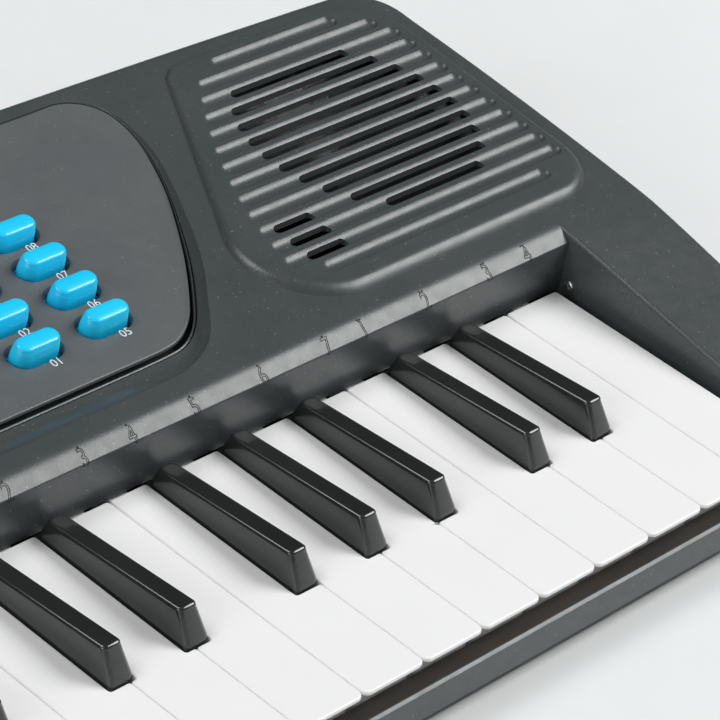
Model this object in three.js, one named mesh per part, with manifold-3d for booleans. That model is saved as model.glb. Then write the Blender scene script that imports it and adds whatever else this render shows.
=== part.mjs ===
// A toy electronic keyboard with 37 small keys, from F to F.
//
// Millimetres. X runs along the keys towards the treble end, Y runs from the player to the back,
// +Z is up, and the origin is in the middle of the case on the surface that the feet stand on.
// Nearly every length comes from the white-key pitch: u(n) is n pitches.

import * as THREE from 'three';
import { mergeVertices } from 'three/addons/utils/BufferGeometryUtils.js';
import Module from 'manifold-3d';

const wasm = await Module();
wasm.setup();

// ---------------------------------------------------------------- driving dimensions

const PITCH = 20; // one white key
const WHITE_KEYS = 22;
const BIG = 600; // longer than the whole case, for cutters
const GAP = 0.3; // between pieces that don't touch

const u = (n) => n * PITCH;

// Case, in plan
const CASE_FRONT = -u(5.08);
const CASE_BACK = u(5.08);
const CASE_HALF = u(12.96); // the widest place
const SIDE_CROWN = u(1.7); // where the sides are widest
const SIDE_BOW = u(0.42); // how much narrower the case is at the front
const BACK_BOW = u(0.24); // how far the back edge curves forward at its ends
const BACK_CORNER = u(0.78);
const FRONT_CORNER = u(0.4);

// Case, in height
const FOOT = 2;
const SEAM_Z = 5; // lower case below, upper case above
const WALL = 2.5;
const LIP_Z = 14; // top of the strip in front of the keys
const BEND_Z = 33.9; // where the sloping cheeks meet the rear deck
const DECK_TILT = 5.4; // degrees, rising to the back
const CHEEK_TILT = 10.2; // degrees, falling to the front

// Keys
const WHITE_TOP = 19;
const WHITE_REAR = -u(0.72);
const WHITE_LENGTH = u(4.01);
const WHITE_FRONT = WHITE_REAR - WHITE_LENGTH;
const KEY_GAP = 0.5;
const BLACK_LENGTH = u(2.48);
const BLACK_FRONT = WHITE_REAR - BLACK_LENGTH;
const BLACK_WIDTH = u(0.37);
const BLACK_TOP_WIDTH = u(0.28);
const BLACK_RISE_FRONT = u(0.42); // above the white keys
const BLACK_RISE_REAR = u(0.24);
const NOTCH_GAP = 0.8; // between a black key and the white keys beside it
const KEY_WALL = 1.5;
const KEY_ROOF = 2;
const BLACK_REAR_GAP = 0.4;
const BLACK_FRONT_WALL = 2.5;
const WHITE_SKIRT_Z = 12;
const APRON_Z = 9.5; // bottom of a white key's front wall
const OVERHANG = 3.4; // reach of a white key's top over the strip in front of the keys
const OVERHANG_THICK = 1;
const BLACK_SKIRT_Z = 14.3;
const BLACK_NOSE = u(0.2); // length of the sloping front face
const BLACK_NOSE_RISE = 1.2; // height of its foot above the white keys
const ARM_LOW = 10.5;
const ARM_HIGH = 16;
const WHITE_ARM = 6;
const BLACK_ARM = 4.4;
const ARM_TAIL = 3.6; // behind the hinge's middle
const WHITE_PRESS = 4; // width of the post that presses the dome
const BLACK_PRESS = 3;
const PRESS_DEPTH = 3;

// Key hinge: a round rod along X that the keys' arms sit over
const HINGE_Y = u(0.38);
const HINGE_Z = 12;
const ROD_R = 1.5;
const ROD_FIT = 0.3;
const RAIL_WEB = 0.6; // half the thickness of the web under the rod
const RAIL_FOOT = 5; // half the width of the rail's foot
const RAIL_FOOT_Z = 7; // top of that foot
const RAIL_SHORT = 2; // how far the rail and the felt stop from the well's ends

// Well that the keys lie in
const WELL_HALF = u(11.2);
const WELL_REAR = -u(0.62);
const WELL_FRONT = WHITE_FRONT - 0.8;
const REAR_WALL = 4;
const LEDGE_DROP = 2.7; // height of the bevel on top of the well's rear wall
const LEDGE_DEPTH = 4;
const KEY_PASS_Z = 16.8; // the keys' arms run to the rear below this

// Speaker pads: raised plateaus with grooves and slots
const PAD_FRONT = -u(0.08);
const PAD_BACK = u(4.64);
const PAD_OUTER = u(12.61);
const PAD_INNER_FRONT = u(5.95);
const PAD_INNER_BACK = u(8.73);
const PAD_TILT = 4.6; // degrees
const PAD_LIFT_BACK = 0.8;
const SPEAKER_X = u(10.29);
const SPEAKER_Y = u(2.45);
const SLOT_CIRCLE_R = u(1.705);
const GROOVES = 14;
const GROOVE_PITCH = u(0.304);
const GROOVE_FIRST = u(4.36);
const GROOVE_WIDTH = u(0.23);
const GROOVE_DEPTH = 1.1;
const GROOVE_MARGIN = u(0.2); // from the pad's edge to the ends of the grooves
const SLOT_ROWS = [2, 11]; // first and last groove that is cut through
const SLOT_WIDTH = u(0.14);
const SLOT_FLOOR_Z = 13; // the slots are cut down to here, well below the case's top
const SHORT_SLOTS = [10, 11, 12]; // grooves with a short extra slot near the pad's inner edge
const SHORT_SLOT_X = [u(7.6), u(8.3)];

// Control panel: a plate set in a recess that deepens to the front
const PANEL_TILT = 8; // degrees
const PANEL_BACK = u(4.74);
const PANEL_PLATE_FRONT = u(0.5);
const RECESS_FRONT = -u(0.11);
const PANEL_WAIST = u(1.75);
const PANEL_SHOULDER = u(3.5);
const PLATE_HALVES = [u(5.5), u(6.5)]; // half widths at the front and at the waist
const RECESS_HALVES = [u(5.2), u(6.65)];
const SHOULDER_HALF = u(7.36);
const PANEL_BACK_HALF = u(7.5);
const PANEL_FRONT_CORNER = u(0.5);
const PANEL_BACK_CORNER = u(0.6);
const PANEL_THICK = 2.4;
const PANEL_FIT = 0.4;
const PANEL_LEDGE = 3;
const RECESS_SHELF = 2.4;

// Rhythm buttons
const BUTTON_COLUMNS = [u(3.49), u(4.61)];
const BUTTON_ROWS = 4;
const BUTTON_FIRST_Y = u(1.24);
const BUTTON_PITCH = u(0.575);
const BUTTON_LENGTH = u(0.7);
const BUTTON_DEPTH = u(0.32);
const BUTTON_HOLE_FIT = 0.8;
const BUTTON_RISE = 4.2;
const BUTTON_FLANGE = 1.2;
const BUTTON_FLANGE_LIP = 1.6;

// Sliders on the left half of the panel: [name, centre x, centre y, slot length in Y]
const SLIDERS = [
  ['power_switch', -u(4.6), u(2.5), 12],
  ['volume_slider', -u(3.4), u(2.5), 30],
];
const SLIDER_SLOT_WIDTH = 3;
const SLIDER_CAP = [9, 7, 5];
const SLIDER_NECK = 2.2;
const SLIDER_SHOE = [8, 6];
const SLIDER_DEEP = 3; // below the plate's underside

// Boards and rubber
const BOARD = 1.6;
const MAIN_BOARD_DROP = 9; // panel face down to the main board's face
const MAIN_BOARD_HALF = 125;
const MAIN_BOARD_Y = [16, 86];
const MAT_THICK = 1;
const MAT_MARGIN = [9, 5]; // round the buttons' middles
const BUTTON_DOME = 2;
const BUTTON_DOME_R = 3;
const CONTACT_Y = -50;
const KEY_BOARD_Z = 6.3;
const KEY_BOARD_DEPTH = 16;
const KEY_BOARD_HALF = 218;
const STRIP_DEPTH = 12;
const STRIP_THICK = 1;
const KEY_DOME = 2.2;
const KEY_DOME_R = 3;
const WHITE_POST_Z = 13.9; // underside of the post that presses the dome
const BLACK_POST_Z = 14.2;
const FELT_DEPTH = 8;
const FELT_THICK = 0.7;

// Speakers
const SPEAKER_R = 38;
const SPEAKER_MAGNET_R = 16;
const SPEAKER_DEEP = 23;
const SPEAKER_RIM = 3;
const SPEAKER_CONE = [[0, -9.8], [8, -10.8], [32, -1.8]]; // radius and height, from the middle out
const SPEAKER_BASKET = [[38, -1.5], [33, -4], [19, -15]];
const SPEAKER_MAGNET_TOP = -15;
const SPEAKER_DROP = 5.2; // pad face down to the speaker's rim

// Battery bay for four AA cells side by side
const BAY = { x0: -137, x1: -75, y0: 27, y1: 85, roof: 19.4 };
const BAY_WALL = 2;
const DOOR_FIT = 0.4;
const DOOR_THICK = 2.6;
const DOOR_LAP = 3;

// Lower case: a plate whose rim stands inside the upper case
const PLATE_INSET = 1.5;
const RIM_FIT = 0.4;
const RIM_WALL = 2;
const RIM_RISE = 4;
const RIB = 1.6; // thickness of the ribs that carry the key board
const BAY_COLLAR = 2;

// Places in plan; bosses and feet also stand mirrored, at -x
const BOSSES = [[240, 84], [163, 90], [238, -45]];
const BOSS_R = 3.5;
const SCREW_R = 1.7;
const SCREW_HEAD_R = 3.2;
const SCREW_HEAD_DEEP = 1.2;
const FEET = [[232, 76], [232, -84]];
const FOOT_R = 7;
const STANDOFFS = [[110, 24], [110, 78], [-50, 78], [-50, 24]];
const STANDOFF_R = 3;

// Finger ridges of the battery door
const GRIPS = 3;
const GRIP_PITCH = 3;
const GRIP_WIDTH = 1.2;
const GRIP_DEEP = 0.8;
const GRIP_MARGIN = 20;

// ---------------------------------------------------------------- colours

const look = (color, roughness, metalness = 0) =>
  new THREE.MeshStandardMaterial({ color, roughness, metalness });

const CASE_LOOK = look(0x2d3233, 0.45);
const LOWER_LOOK = look(0x262a2b, 0.5);
const PANEL_LOOK = look(0x3a3e40, 0.5);
const WHITE_LOOK = look(0xf2f2f0, 0.15);
const BLACK_LOOK = look(0x1b1c1e, 0.25);
const BLUE_LOOK = look(0x13b4e8, 0.2);
const RUBBER_LOOK = look(0x8b8f90, 0.8);
const BOARD_LOOK = look(0x6e5a2a, 0.55);
const STEEL_LOOK = look(0x9a9ea0, 0.35, 0.9);
const FELT_LOOK = look(0x7c2a2e, 0.95);

// ---------------------------------------------------------------- small tools

const rad = THREE.MathUtils.degToRad;

function solid(geometry) {
  const bare = geometry.clone();
  bare.deleteAttribute('normal');
  bare.deleteAttribute('uv');
  const merged = mergeVertices(bare, 1e-4);
  return new wasm.Manifold(new wasm.Mesh({
    numProp: 3,
    vertProperties: new Float32Array(merged.attributes.position.array),
    triVerts: new Uint32Array(merged.index.array),
  }));
}

function geometryOf(body) {
  const mesh = body.getMesh();
  const geometry = new THREE.BufferGeometry();
  geometry.setAttribute('position', new THREE.BufferAttribute(mesh.vertProperties, 3));
  geometry.setIndex(new THREE.BufferAttribute(mesh.triVerts, 1));
  geometry.computeVertexNormals();
  return geometry;
}

const join = (bodies) => bodies.reduce((all, next) => all.add(next));
const carve = (body, cutters) => cutters.reduce((left, next) => left.subtract(next), body);

function block(x0, x1, y0, y1, z0, z1) {
  const geometry = new THREE.BoxGeometry(x1 - x0, y1 - y0, z1 - z0);
  geometry.translate((x0 + x1) / 2, (y0 + y1) / 2, (z0 + z1) / 2);
  return solid(geometry);
}

// An outline in plan, raised from z0 to z1
function upright(outline, z0, z1) {
  const shape = new THREE.Shape(outline.map(([x, y]) => new THREE.Vector2(x, y)));
  const geometry = new THREE.ExtrudeGeometry(shape, { depth: z1 - z0, bevelEnabled: false });
  geometry.translate(0, 0, z0);
  return solid(geometry);
}

// An outline in side view, given as [y, z], carried from x0 to x1
function along(outline, x0, x1) {
  const shape = new THREE.Shape(outline.map(([y, z]) => new THREE.Vector2(y, z)));
  const geometry = new THREE.ExtrudeGeometry(shape, { depth: x1 - x0, bevelEnabled: false });
  const turn = new THREE.Matrix4().makeBasis(
    new THREE.Vector3(0, 1, 0),
    new THREE.Vector3(0, 0, 1),
    new THREE.Vector3(1, 0, 0),
  );
  geometry.applyMatrix4(turn);
  geometry.translate(x0, 0, 0);
  return solid(geometry);
}

function post(x, y, r, z0, z1, sides = 12) {
  const geometry = new THREE.CylinderGeometry(r, r, z1 - z0, sides);
  geometry.rotateX(Math.PI / 2);
  geometry.translate(x, y, (z0 + z1) / 2);
  return solid(geometry);
}

// Points of a polygon whose corners [x, y, radius] are rounded
function rounded(corners, steps = 5) {
  const points = [];
  corners.forEach(([x, y, r = 0], i) => {
    if (r === 0) {
      points.push([x, y]);
      return;
    }
    const here = new THREE.Vector2(x, y);
    const before = corners[(i + corners.length - 1) % corners.length];
    const after = corners[(i + 1) % corners.length];
    const back = new THREE.Vector2(before[0], before[1]).sub(here).normalize();
    const on = new THREE.Vector2(after[0], after[1]).sub(here).normalize();
    const half = Math.acos(back.dot(on)) / 2;
    const middle = back.clone().add(on).normalize().multiplyScalar(r / Math.sin(half)).add(here);
    const start = here.clone().add(back.multiplyScalar(r / Math.tan(half))).sub(middle);
    const sweep = here.clone().add(on.multiplyScalar(r / Math.tan(half))).sub(middle);
    const from = start.angle();
    let turn = sweep.angle() - from;
    if (turn > Math.PI) turn -= 2 * Math.PI;
    if (turn < -Math.PI) turn += 2 * Math.PI;
    for (let k = 0; k <= steps; k += 1) {
      const angle = from + (turn * k) / steps;
      points.push([middle.x + r * Math.cos(angle), middle.y + r * Math.sin(angle)]);
    }
  });
  return points;
}

const mirrored = (outline) => outline.map(([x, y]) => [-x, y]).reverse();

// ---------------------------------------------------------------- surfaces of the case

const deckZ = (y) => BEND_Z + Math.tan(rad(DECK_TILT)) * (y - WELL_REAR);
const cheekZ = (y) => BEND_Z + Math.tan(rad(CHEEK_TILT)) * (y - WELL_REAR);
const padZ = (y) => deckZ(PAD_BACK) + PAD_LIFT_BACK - Math.tan(rad(PAD_TILT)) * (PAD_BACK - y);
const panelZ = (y) => deckZ(PANEL_BACK) - Math.tan(rad(PANEL_TILT)) * (PANEL_BACK - y);

// Everything below a plane z(y) lowered by drop
function below(z, drop, x0 = -BIG, x1 = BIG) {
  const reach = 2 * CASE_BACK;
  return along([[-reach, -reach], [reach, -reach], [reach, z(reach) - drop], [-reach, z(-reach) - drop]],
    x0, x1);
}

function above(z, drop, x0 = -BIG, x1 = BIG) {
  const reach = 2 * CASE_BACK;
  return along([[-reach, z(-reach) - drop], [reach, z(reach) - drop], [reach, BIG], [-reach, BIG]], x0, x1);
}

function caseHalf(y) {
  const s = (SIDE_CROWN - y) / (SIDE_CROWN - CASE_FRONT);
  return CASE_HALF - SIDE_BOW * s * s;
}

function caseOutline(inset) {
  const back = (x) => CASE_BACK - BACK_BOW * (x / CASE_HALF) ** 2 - inset;
  const right = [
    [caseHalf(CASE_FRONT) - inset, CASE_FRONT + inset, Math.max(FRONT_CORNER - inset, 1)],
    [caseHalf(-u(2)) - inset, -u(2)],
    [caseHalf(u(1)) - inset, u(1)],
    [caseHalf(u(4)) - inset, back(CASE_HALF), Math.max(BACK_CORNER - inset, 1)],
    [u(9), back(u(9))],
    [u(4.5), back(u(4.5))],
  ];
  const left = right.map(([x, y, r]) => [-x, y, r]).reverse();
  return rounded([...right, [0, back(0)], ...left]);
}

function padOutline(inset) {
  const lean = (PAD_INNER_BACK - PAD_INNER_FRONT) / (PAD_BACK - PAD_FRONT);
  const side = inset * Math.hypot(1, lean);
  const inner = (y) => PAD_INNER_FRONT + side + lean * (y - PAD_FRONT);
  return rounded([
    [inner(PAD_FRONT + inset), PAD_FRONT + inset, u(1.1) - inset],
    [PAD_OUTER - inset, PAD_FRONT + inset, u(0.85) - inset],
    [PAD_OUTER - inset, PAD_BACK - inset, u(0.95) - inset],
    [inner(PAD_BACK - inset), PAD_BACK - inset, u(0.55) - inset],
  ]);
}

// The panel's sides swing out towards the back, over the waist and the shoulder
function panelOutline(front, [halfFront, halfWaist], grow) {
  const right = [
    [halfFront + grow, front - grow, PANEL_FRONT_CORNER],
    [halfWaist + grow, PANEL_WAIST],
    [SHOULDER_HALF + grow, PANEL_SHOULDER],
    [PANEL_BACK_HALF + grow, PANEL_BACK + grow, PANEL_BACK_CORNER],
  ];
  const left = right.map(([x, y, r]) => [-x, y, r]).reverse();
  return rounded([...right, ...left], 4);
}

const plateOutline = (grow) => panelOutline(PANEL_PLATE_FRONT, PLATE_HALVES, grow);
const recessOutline = () => panelOutline(RECESS_FRONT, RECESS_HALVES, PANEL_FIT);

// ---------------------------------------------------------------- speaker pad cutters

const grooveY = (row) => GROOVE_FIRST - row * GROOVE_PITCH;

function padCutters(side) {
  const flip = (outline) => (side > 0 ? outline : mirrored(outline));
  const [near, far] = [PAD_INNER_FRONT, PAD_OUTER].map((x) => x * side).sort((a, b) => a - b);
  const bars = [];
  const slots = [];
  for (let row = 0; row < GROOVES; row += 1) {
    const y = grooveY(row);
    bars.push(block(near, far, y - GROOVE_WIDTH / 2, y + GROOVE_WIDTH / 2, 0, BIG));
    if (row >= SLOT_ROWS[0] && row <= SLOT_ROWS[1]) {
      slots.push(block(near, far, y - SLOT_WIDTH / 2, y + SLOT_WIDTH / 2, SLOT_FLOOR_Z, BIG));
    }
  }
  const shallow = join(bars)
    .intersect(upright(flip(padOutline(GROOVE_MARGIN)), 0, BIG))
    .intersect(above(padZ, GROOVE_DEPTH));
  const circle = post(side * SPEAKER_X, SPEAKER_Y, SLOT_CIRCLE_R, 0, BIG, 28);
  const through = join(slots).intersect(circle);
  const short = SHORT_SLOTS.map((row) => {
    const [x0, x1] = SHORT_SLOT_X.map((x) => x * side).sort((a, b) => a - b);
    const y = grooveY(row);
    return block(x0, x1, y - SLOT_WIDTH / 2, y + SLOT_WIDTH / 2, SLOT_FLOOR_Z, BIG);
  });
  return [shallow, through, ...short];
}

// ---------------------------------------------------------------- case

function upperCase() {
  const hull = upright(caseOutline(0), SEAM_Z, BIG)
    .intersect(below(deckZ, 0))
    .intersect(below(cheekZ, 0, -BIG, BIG).add(block(-BIG, BIG, WELL_REAR, BIG, 0, BIG)));
  const pads = [1, -1].map((side) => {
    const outline = side > 0 ? padOutline(0) : mirrored(padOutline(0));
    return upright(outline, BEND_Z - WALL, BIG).intersect(below(padZ, 0));
  });
  const webs = join([
    block(-WELL_HALF - WALL, WELL_HALF + WALL, WELL_REAR, WELL_REAR + REAR_WALL, KEY_PASS_Z, BIG),
    block(-WELL_HALF - WALL, -WELL_HALF, WELL_FRONT, WELL_REAR + REAR_WALL, SEAM_Z, BIG),
    block(WELL_HALF, WELL_HALF + WALL, WELL_FRONT, WELL_REAR + REAR_WALL, SEAM_Z, BIG),
    block(-WELL_HALF - WALL, WELL_HALF + WALL, CASE_FRONT, WELL_FRONT, LIP_Z - WALL, BIG),
    upright(recessOutline(), 0, BIG).intersect(above(panelZ, PANEL_THICK + PANEL_FIT + RECESS_SHELF)),
  ]);
  const cavity = upright(caseOutline(WALL), 0, BIG)
    .intersect(below(deckZ, WALL))
    .intersect(below(cheekZ, WALL).add(block(-BIG, BIG, WELL_REAR, BIG, 0, BIG)))
    .subtract(webs);
  const bosses = [];
  BOSSES.forEach(([x, y]) => [x, -x].forEach((at) => bosses.push(post(at, y, BOSS_R, SEAM_Z + 1, BIG, 10))));
  const inside = cavity.subtract(join(bosses));
  const well = join([
    block(-WELL_HALF, WELL_HALF, WELL_FRONT, WELL_REAR, 0, BIG),
    block(-WELL_HALF, WELL_HALF, CASE_FRONT - WALL, WELL_FRONT + 1, LIP_Z, BIG),
  ]);
  const ledge = along([
    [WELL_REAR - 1, deckZ(WELL_REAR + LEDGE_DEPTH) - LEDGE_DROP - LEDGE_DROP / LEDGE_DEPTH],
    [WELL_REAR + LEDGE_DEPTH, deckZ(WELL_REAR + LEDGE_DEPTH)],
    [WELL_REAR + LEDGE_DEPTH, BIG],
    [WELL_REAR - 1, BIG],
  ], -WELL_HALF, WELL_HALF);
  const recess = upright(recessOutline(), 0, BIG).intersect(above(panelZ, 0));
  const seat = upright(plateOutline(PANEL_FIT), 0, BIG).intersect(above(panelZ, PANEL_THICK + PANEL_FIT));
  const opening = upright(plateOutline(-PANEL_LEDGE), SEAM_Z, BIG);
  return carve(hull.add(join(pads)), [
    inside, well, ledge, recess, seat, opening, ...padCutters(1), ...padCutters(-1),
  ]);
}

function lowerCase() {
  const plate = upright(caseOutline(PLATE_INSET), FOOT, SEAM_Z - GAP);
  const rim = upright(caseOutline(WALL + RIM_FIT), SEAM_Z - GAP, SEAM_Z + RIM_RISE)
    .subtract(upright(caseOutline(WALL + RIM_FIT + RIM_WALL), 0, BIG));
  const feet = [];
  FEET.forEach(([x, y]) => [x, -x].forEach((at) => feet.push(post(at, y, FOOT_R, 0, FOOT + 1, 16))));
  const bay = block(BAY.x0 - BAY_WALL, BAY.x1 + BAY_WALL, BAY.y0 - BAY_WALL, BAY.y1 + BAY_WALL,
    FOOT, BAY.roof + BAY_WALL);
  const ribs = [-1, 1].map((s) => {
    const y = CONTACT_Y + (s * (KEY_BOARD_DEPTH - RIB)) / 2;
    return block(-KEY_BOARD_HALF, KEY_BOARD_HALF, y - RIB / 2, y + RIB / 2, FOOT, KEY_BOARD_Z - GAP);
  });
  const standoffs = STANDOFFS.map(([x, y]) =>
    post(x, y, STANDOFF_R, FOOT, panelZ(y) - MAIN_BOARD_DROP - BOARD - 1, 10));
  const holes = [];
  BOSSES.forEach(([x, y]) => [x, -x].forEach((at) => {
    holes.push(post(at, y, SCREW_R, 0, SEAM_Z, 10));
    holes.push(post(at, y, SCREW_HEAD_R, 0, FOOT + SCREW_HEAD_DEEP, 10));
  }));
  const hollow = block(BAY.x0, BAY.x1, BAY.y0, BAY.y1, 0, BAY.roof);
  const rebate = block(BAY.x0 - DOOR_LAP, BAY.x1 + DOOR_LAP, BAY.y0 - DOOR_LAP, BAY.y1 + DOOR_LAP,
    0, FOOT + DOOR_THICK + DOOR_FIT);
  const reach = DOOR_LAP + BAY_COLLAR;
  const around = block(BAY.x0 - reach, BAY.x1 + reach, BAY.y0 - reach, BAY.y1 + reach,
    FOOT, FOOT + DOOR_THICK + DOOR_LAP);
  return carve(join([plate, rim, ...feet, bay, around, ...ribs, ...standoffs]),
    [...holes, hollow, rebate]);
}

function batteryDoor() {
  const lap = DOOR_LAP - DOOR_FIT;
  const cover = block(BAY.x0 - lap, BAY.x1 + lap, BAY.y0 - lap, BAY.y1 + lap, FOOT, FOOT + DOOR_THICK);
  const grips = [];
  for (let k = 0; k < GRIPS; k += 1) {
    const y = BAY.y0 + (k + 1) * GRIP_PITCH;
    grips.push(block(BAY.x0 + GRIP_MARGIN, BAY.x1 - GRIP_MARGIN, y, y + GRIP_WIDTH, 0, FOOT + GRIP_DEEP));
  }
  return carve(cover, grips);
}

// ---------------------------------------------------------------- control panel and its parts

// A pill in plan: length along X, depth along Y
function pill(x, y, length, depth, steps = 6) {
  const [hx, hy] = [length / 2, depth / 2];
  const r = hy * 0.98;
  return rounded([
    [x + hx, y - hy, r], [x + hx, y + hy, r], [x - hx, y + hy, r], [x - hx, y - hy, r],
  ], steps);
}

const buttonPlaces = [];
BUTTON_COLUMNS.forEach((x) => {
  for (let row = 0; row < BUTTON_ROWS; row += 1) {
    buttonPlaces.push([x, BUTTON_FIRST_Y + row * BUTTON_PITCH]);
  }
});

// A layer parallel to the panel's face, between two depths below it
function panelLayer(outline, top, bottom) {
  return upright(outline, 0, BIG).intersect(below(panelZ, top)).intersect(above(panelZ, bottom));
}

function controlPanel() {
  const plate = panelLayer(plateOutline(0), 0, PANEL_THICK);
  const holes = buttonPlaces.map(([x, y]) =>
    upright(pill(x, y, BUTTON_LENGTH + 2 * BUTTON_HOLE_FIT, BUTTON_DEPTH + 2 * BUTTON_HOLE_FIT), 0, BIG));
  const slots = SLIDERS.map(([, x, y, length]) =>
    upright(rectangle(x, y, SLIDER_SLOT_WIDTH, length), 0, BIG));
  return carve(plate, [...holes, ...slots]);
}

function button([x, y]) {
  const cap = panelLayer(pill(x, y, BUTTON_LENGTH, BUTTON_DEPTH), -BUTTON_RISE, PANEL_THICK + 1);
  const wide = pill(x, y, BUTTON_LENGTH + 2 * BUTTON_FLANGE_LIP, BUTTON_DEPTH + 2 * BUTTON_FLANGE_LIP);
  const flange = panelLayer(wide, PANEL_THICK + GAP, PANEL_THICK + GAP + BUTTON_FLANGE);
  return cap.add(flange);
}

function rectangle(x, y, width, depth) {
  const [x0, x1, y0, y1] = [x - width / 2, x + width / 2, y - depth / 2, y + depth / 2];
  return [[x0, y0], [x1, y0], [x1, y1], [x0, y1]];
}

// A slider at the front end of its slot: finger cap above the panel, neck in the slot, shoe below
function slider([, x, y, length]) {
  const [width, depth, rise] = SLIDER_CAP;
  const at = y - (length - SLIDER_SLOT_WIDTH) / 2;
  const cap = panelLayer(rectangle(x, at, width, depth), -rise - GAP, -GAP);
  const neck = panelLayer(rectangle(x, at, SLIDER_NECK, SLIDER_NECK), -1, PANEL_THICK + SLIDER_DEEP);
  const shoe = panelLayer(rectangle(x, at, ...SLIDER_SHOE), PANEL_THICK + PANEL_FIT,
    PANEL_THICK + SLIDER_DEEP);
  return join([cap, neck, shoe]);
}

function mainBoard() {
  const [y0, y1] = MAIN_BOARD_Y;
  return panelLayer(rectangle(0, (y0 + y1) / 2, 2 * MAIN_BOARD_HALF, y1 - y0), MAIN_BOARD_DROP,
    MAIN_BOARD_DROP + BOARD);
}

function buttonMat() {
  const [left, right] = BUTTON_COLUMNS;
  const rows = (BUTTON_ROWS - 1) * BUTTON_PITCH;
  const [besideX, besideY] = MAT_MARGIN;
  const bottom = MAIN_BOARD_DROP - GAP;
  const sheet = panelLayer(
    rectangle((left + right) / 2, BUTTON_FIRST_Y + rows / 2, right - left + 2 * besideX, rows + 2 * besideY),
    bottom - MAT_THICK, bottom);
  const domes = buttonPlaces.map(([x, y]) =>
    post(x, y, BUTTON_DOME_R, 0, BIG, 10)
      .intersect(above(panelZ, bottom))
      .intersect(below(panelZ, bottom - MAT_THICK - BUTTON_DOME)));
  return join([sheet, ...domes]);
}

// ---------------------------------------------------------------- keys

// Letters from F to F; a black key follows every letter but E and B. The number is how far the black
// key's middle stands from the joint between its white neighbours, in pitches.
const BLACK_SHIFT = { F: -0.2, G: -0.025, A: 0.17, C: -0.105, D: 0.045 };
const SCALE = ['F', 'G', 'A', 'B', 'C', 'D', 'E'];

const whiteKeys = [];
const blackKeys = [];
for (let n = 0; n < WHITE_KEYS; n += 1) {
  const letter = SCALE[n % SCALE.length];
  // Octaves are numbered so that the lowest F is F3
  const octave = 3 + Math.floor((n + 3) / 7);
  const left = (n - WHITE_KEYS / 2) * PITCH;
  whiteKeys.push({ name: `key_${letter}${octave}`, left, right: left + PITCH });
  if (letter in BLACK_SHIFT && n < WHITE_KEYS - 1) {
    const x = left + PITCH + u(BLACK_SHIFT[letter]);
    blackKeys.push({ name: `key_${letter}s${octave}`, x });
  }
}

// The narrow rear part of a white key, between its black neighbours
function rearSpan({ left, right }) {
  const reach = BLACK_WIDTH / 2 + NOTCH_GAP;
  let [x0, x1] = [left + KEY_GAP / 2, right - KEY_GAP / 2];
  blackKeys.forEach(({ x }) => {
    if (Math.abs(x - left) < PITCH / 2) x0 = x + reach;
    if (Math.abs(x - right) < PITCH / 2) x1 = x - reach;
  });
  return [x0, x1];
}

// Arm that runs back to the hinge rod and sits over it
function keyArm(x, width, from) {
  const half = width / 2;
  const bar = block(x - half, x + half, from, HINGE_Y + ARM_TAIL, ARM_LOW, ARM_HIGH);
  const groove = new THREE.CylinderGeometry(ROD_R + ROD_FIT, ROD_R + ROD_FIT, width + 2, 12);
  groove.rotateZ(Math.PI / 2);
  groove.translate(x, HINGE_Y, HINGE_Z);
  const mouth = block(x - half - 1, x + half + 1, HINGE_Y - ROD_R - ROD_FIT, HINGE_Y + ROD_R + ROD_FIT,
    0, HINGE_Z);
  return carve(bar, [solid(groove), mouth]);
}

function whiteKey(key) {
  const [x0, x1] = rearSpan(key);
  const [w0, w1] = [key.left + KEY_GAP / 2, key.right - KEY_GAP / 2];
  const notch = BLACK_FRONT - NOTCH_GAP;
  const plan = (inset) => {
    const points = [[w0 + inset, WHITE_FRONT + inset], [w1 - inset, WHITE_FRONT + inset]];
    if (x1 < w1) points.push([w1 - inset, notch - inset], [x1 - inset, notch - inset]);
    points.push([x1 - inset, WHITE_REAR - inset], [x0 + inset, WHITE_REAR - inset]);
    if (x0 > w0) points.push([x0 + inset, notch - inset], [w0 + inset, notch - inset]);
    return points;
  };
  const shell = upright(plan(0), WHITE_SKIRT_Z, WHITE_TOP)
    .subtract(upright(plan(KEY_WALL), 0, WHITE_TOP - KEY_ROOF));
  const apron = block(w0, w1, WHITE_FRONT, WHITE_FRONT + KEY_WALL, APRON_Z, WHITE_SKIRT_Z + 1);
  const overhang = block(w0, w1, WHITE_FRONT - OVERHANG, WHITE_FRONT + KEY_WALL, WHITE_TOP - OVERHANG_THICK,
    WHITE_TOP);
  const middle = (x0 + x1) / 2;
  const arm = keyArm(middle, WHITE_ARM, WHITE_REAR - KEY_WALL);
  const press = upright(rectangle(middle, CONTACT_Y, WHITE_PRESS, PRESS_DEPTH), WHITE_POST_Z,
    WHITE_TOP - KEY_ROOF / 2);
  return join([shell, apron, overhang, arm, press]);
}

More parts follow.
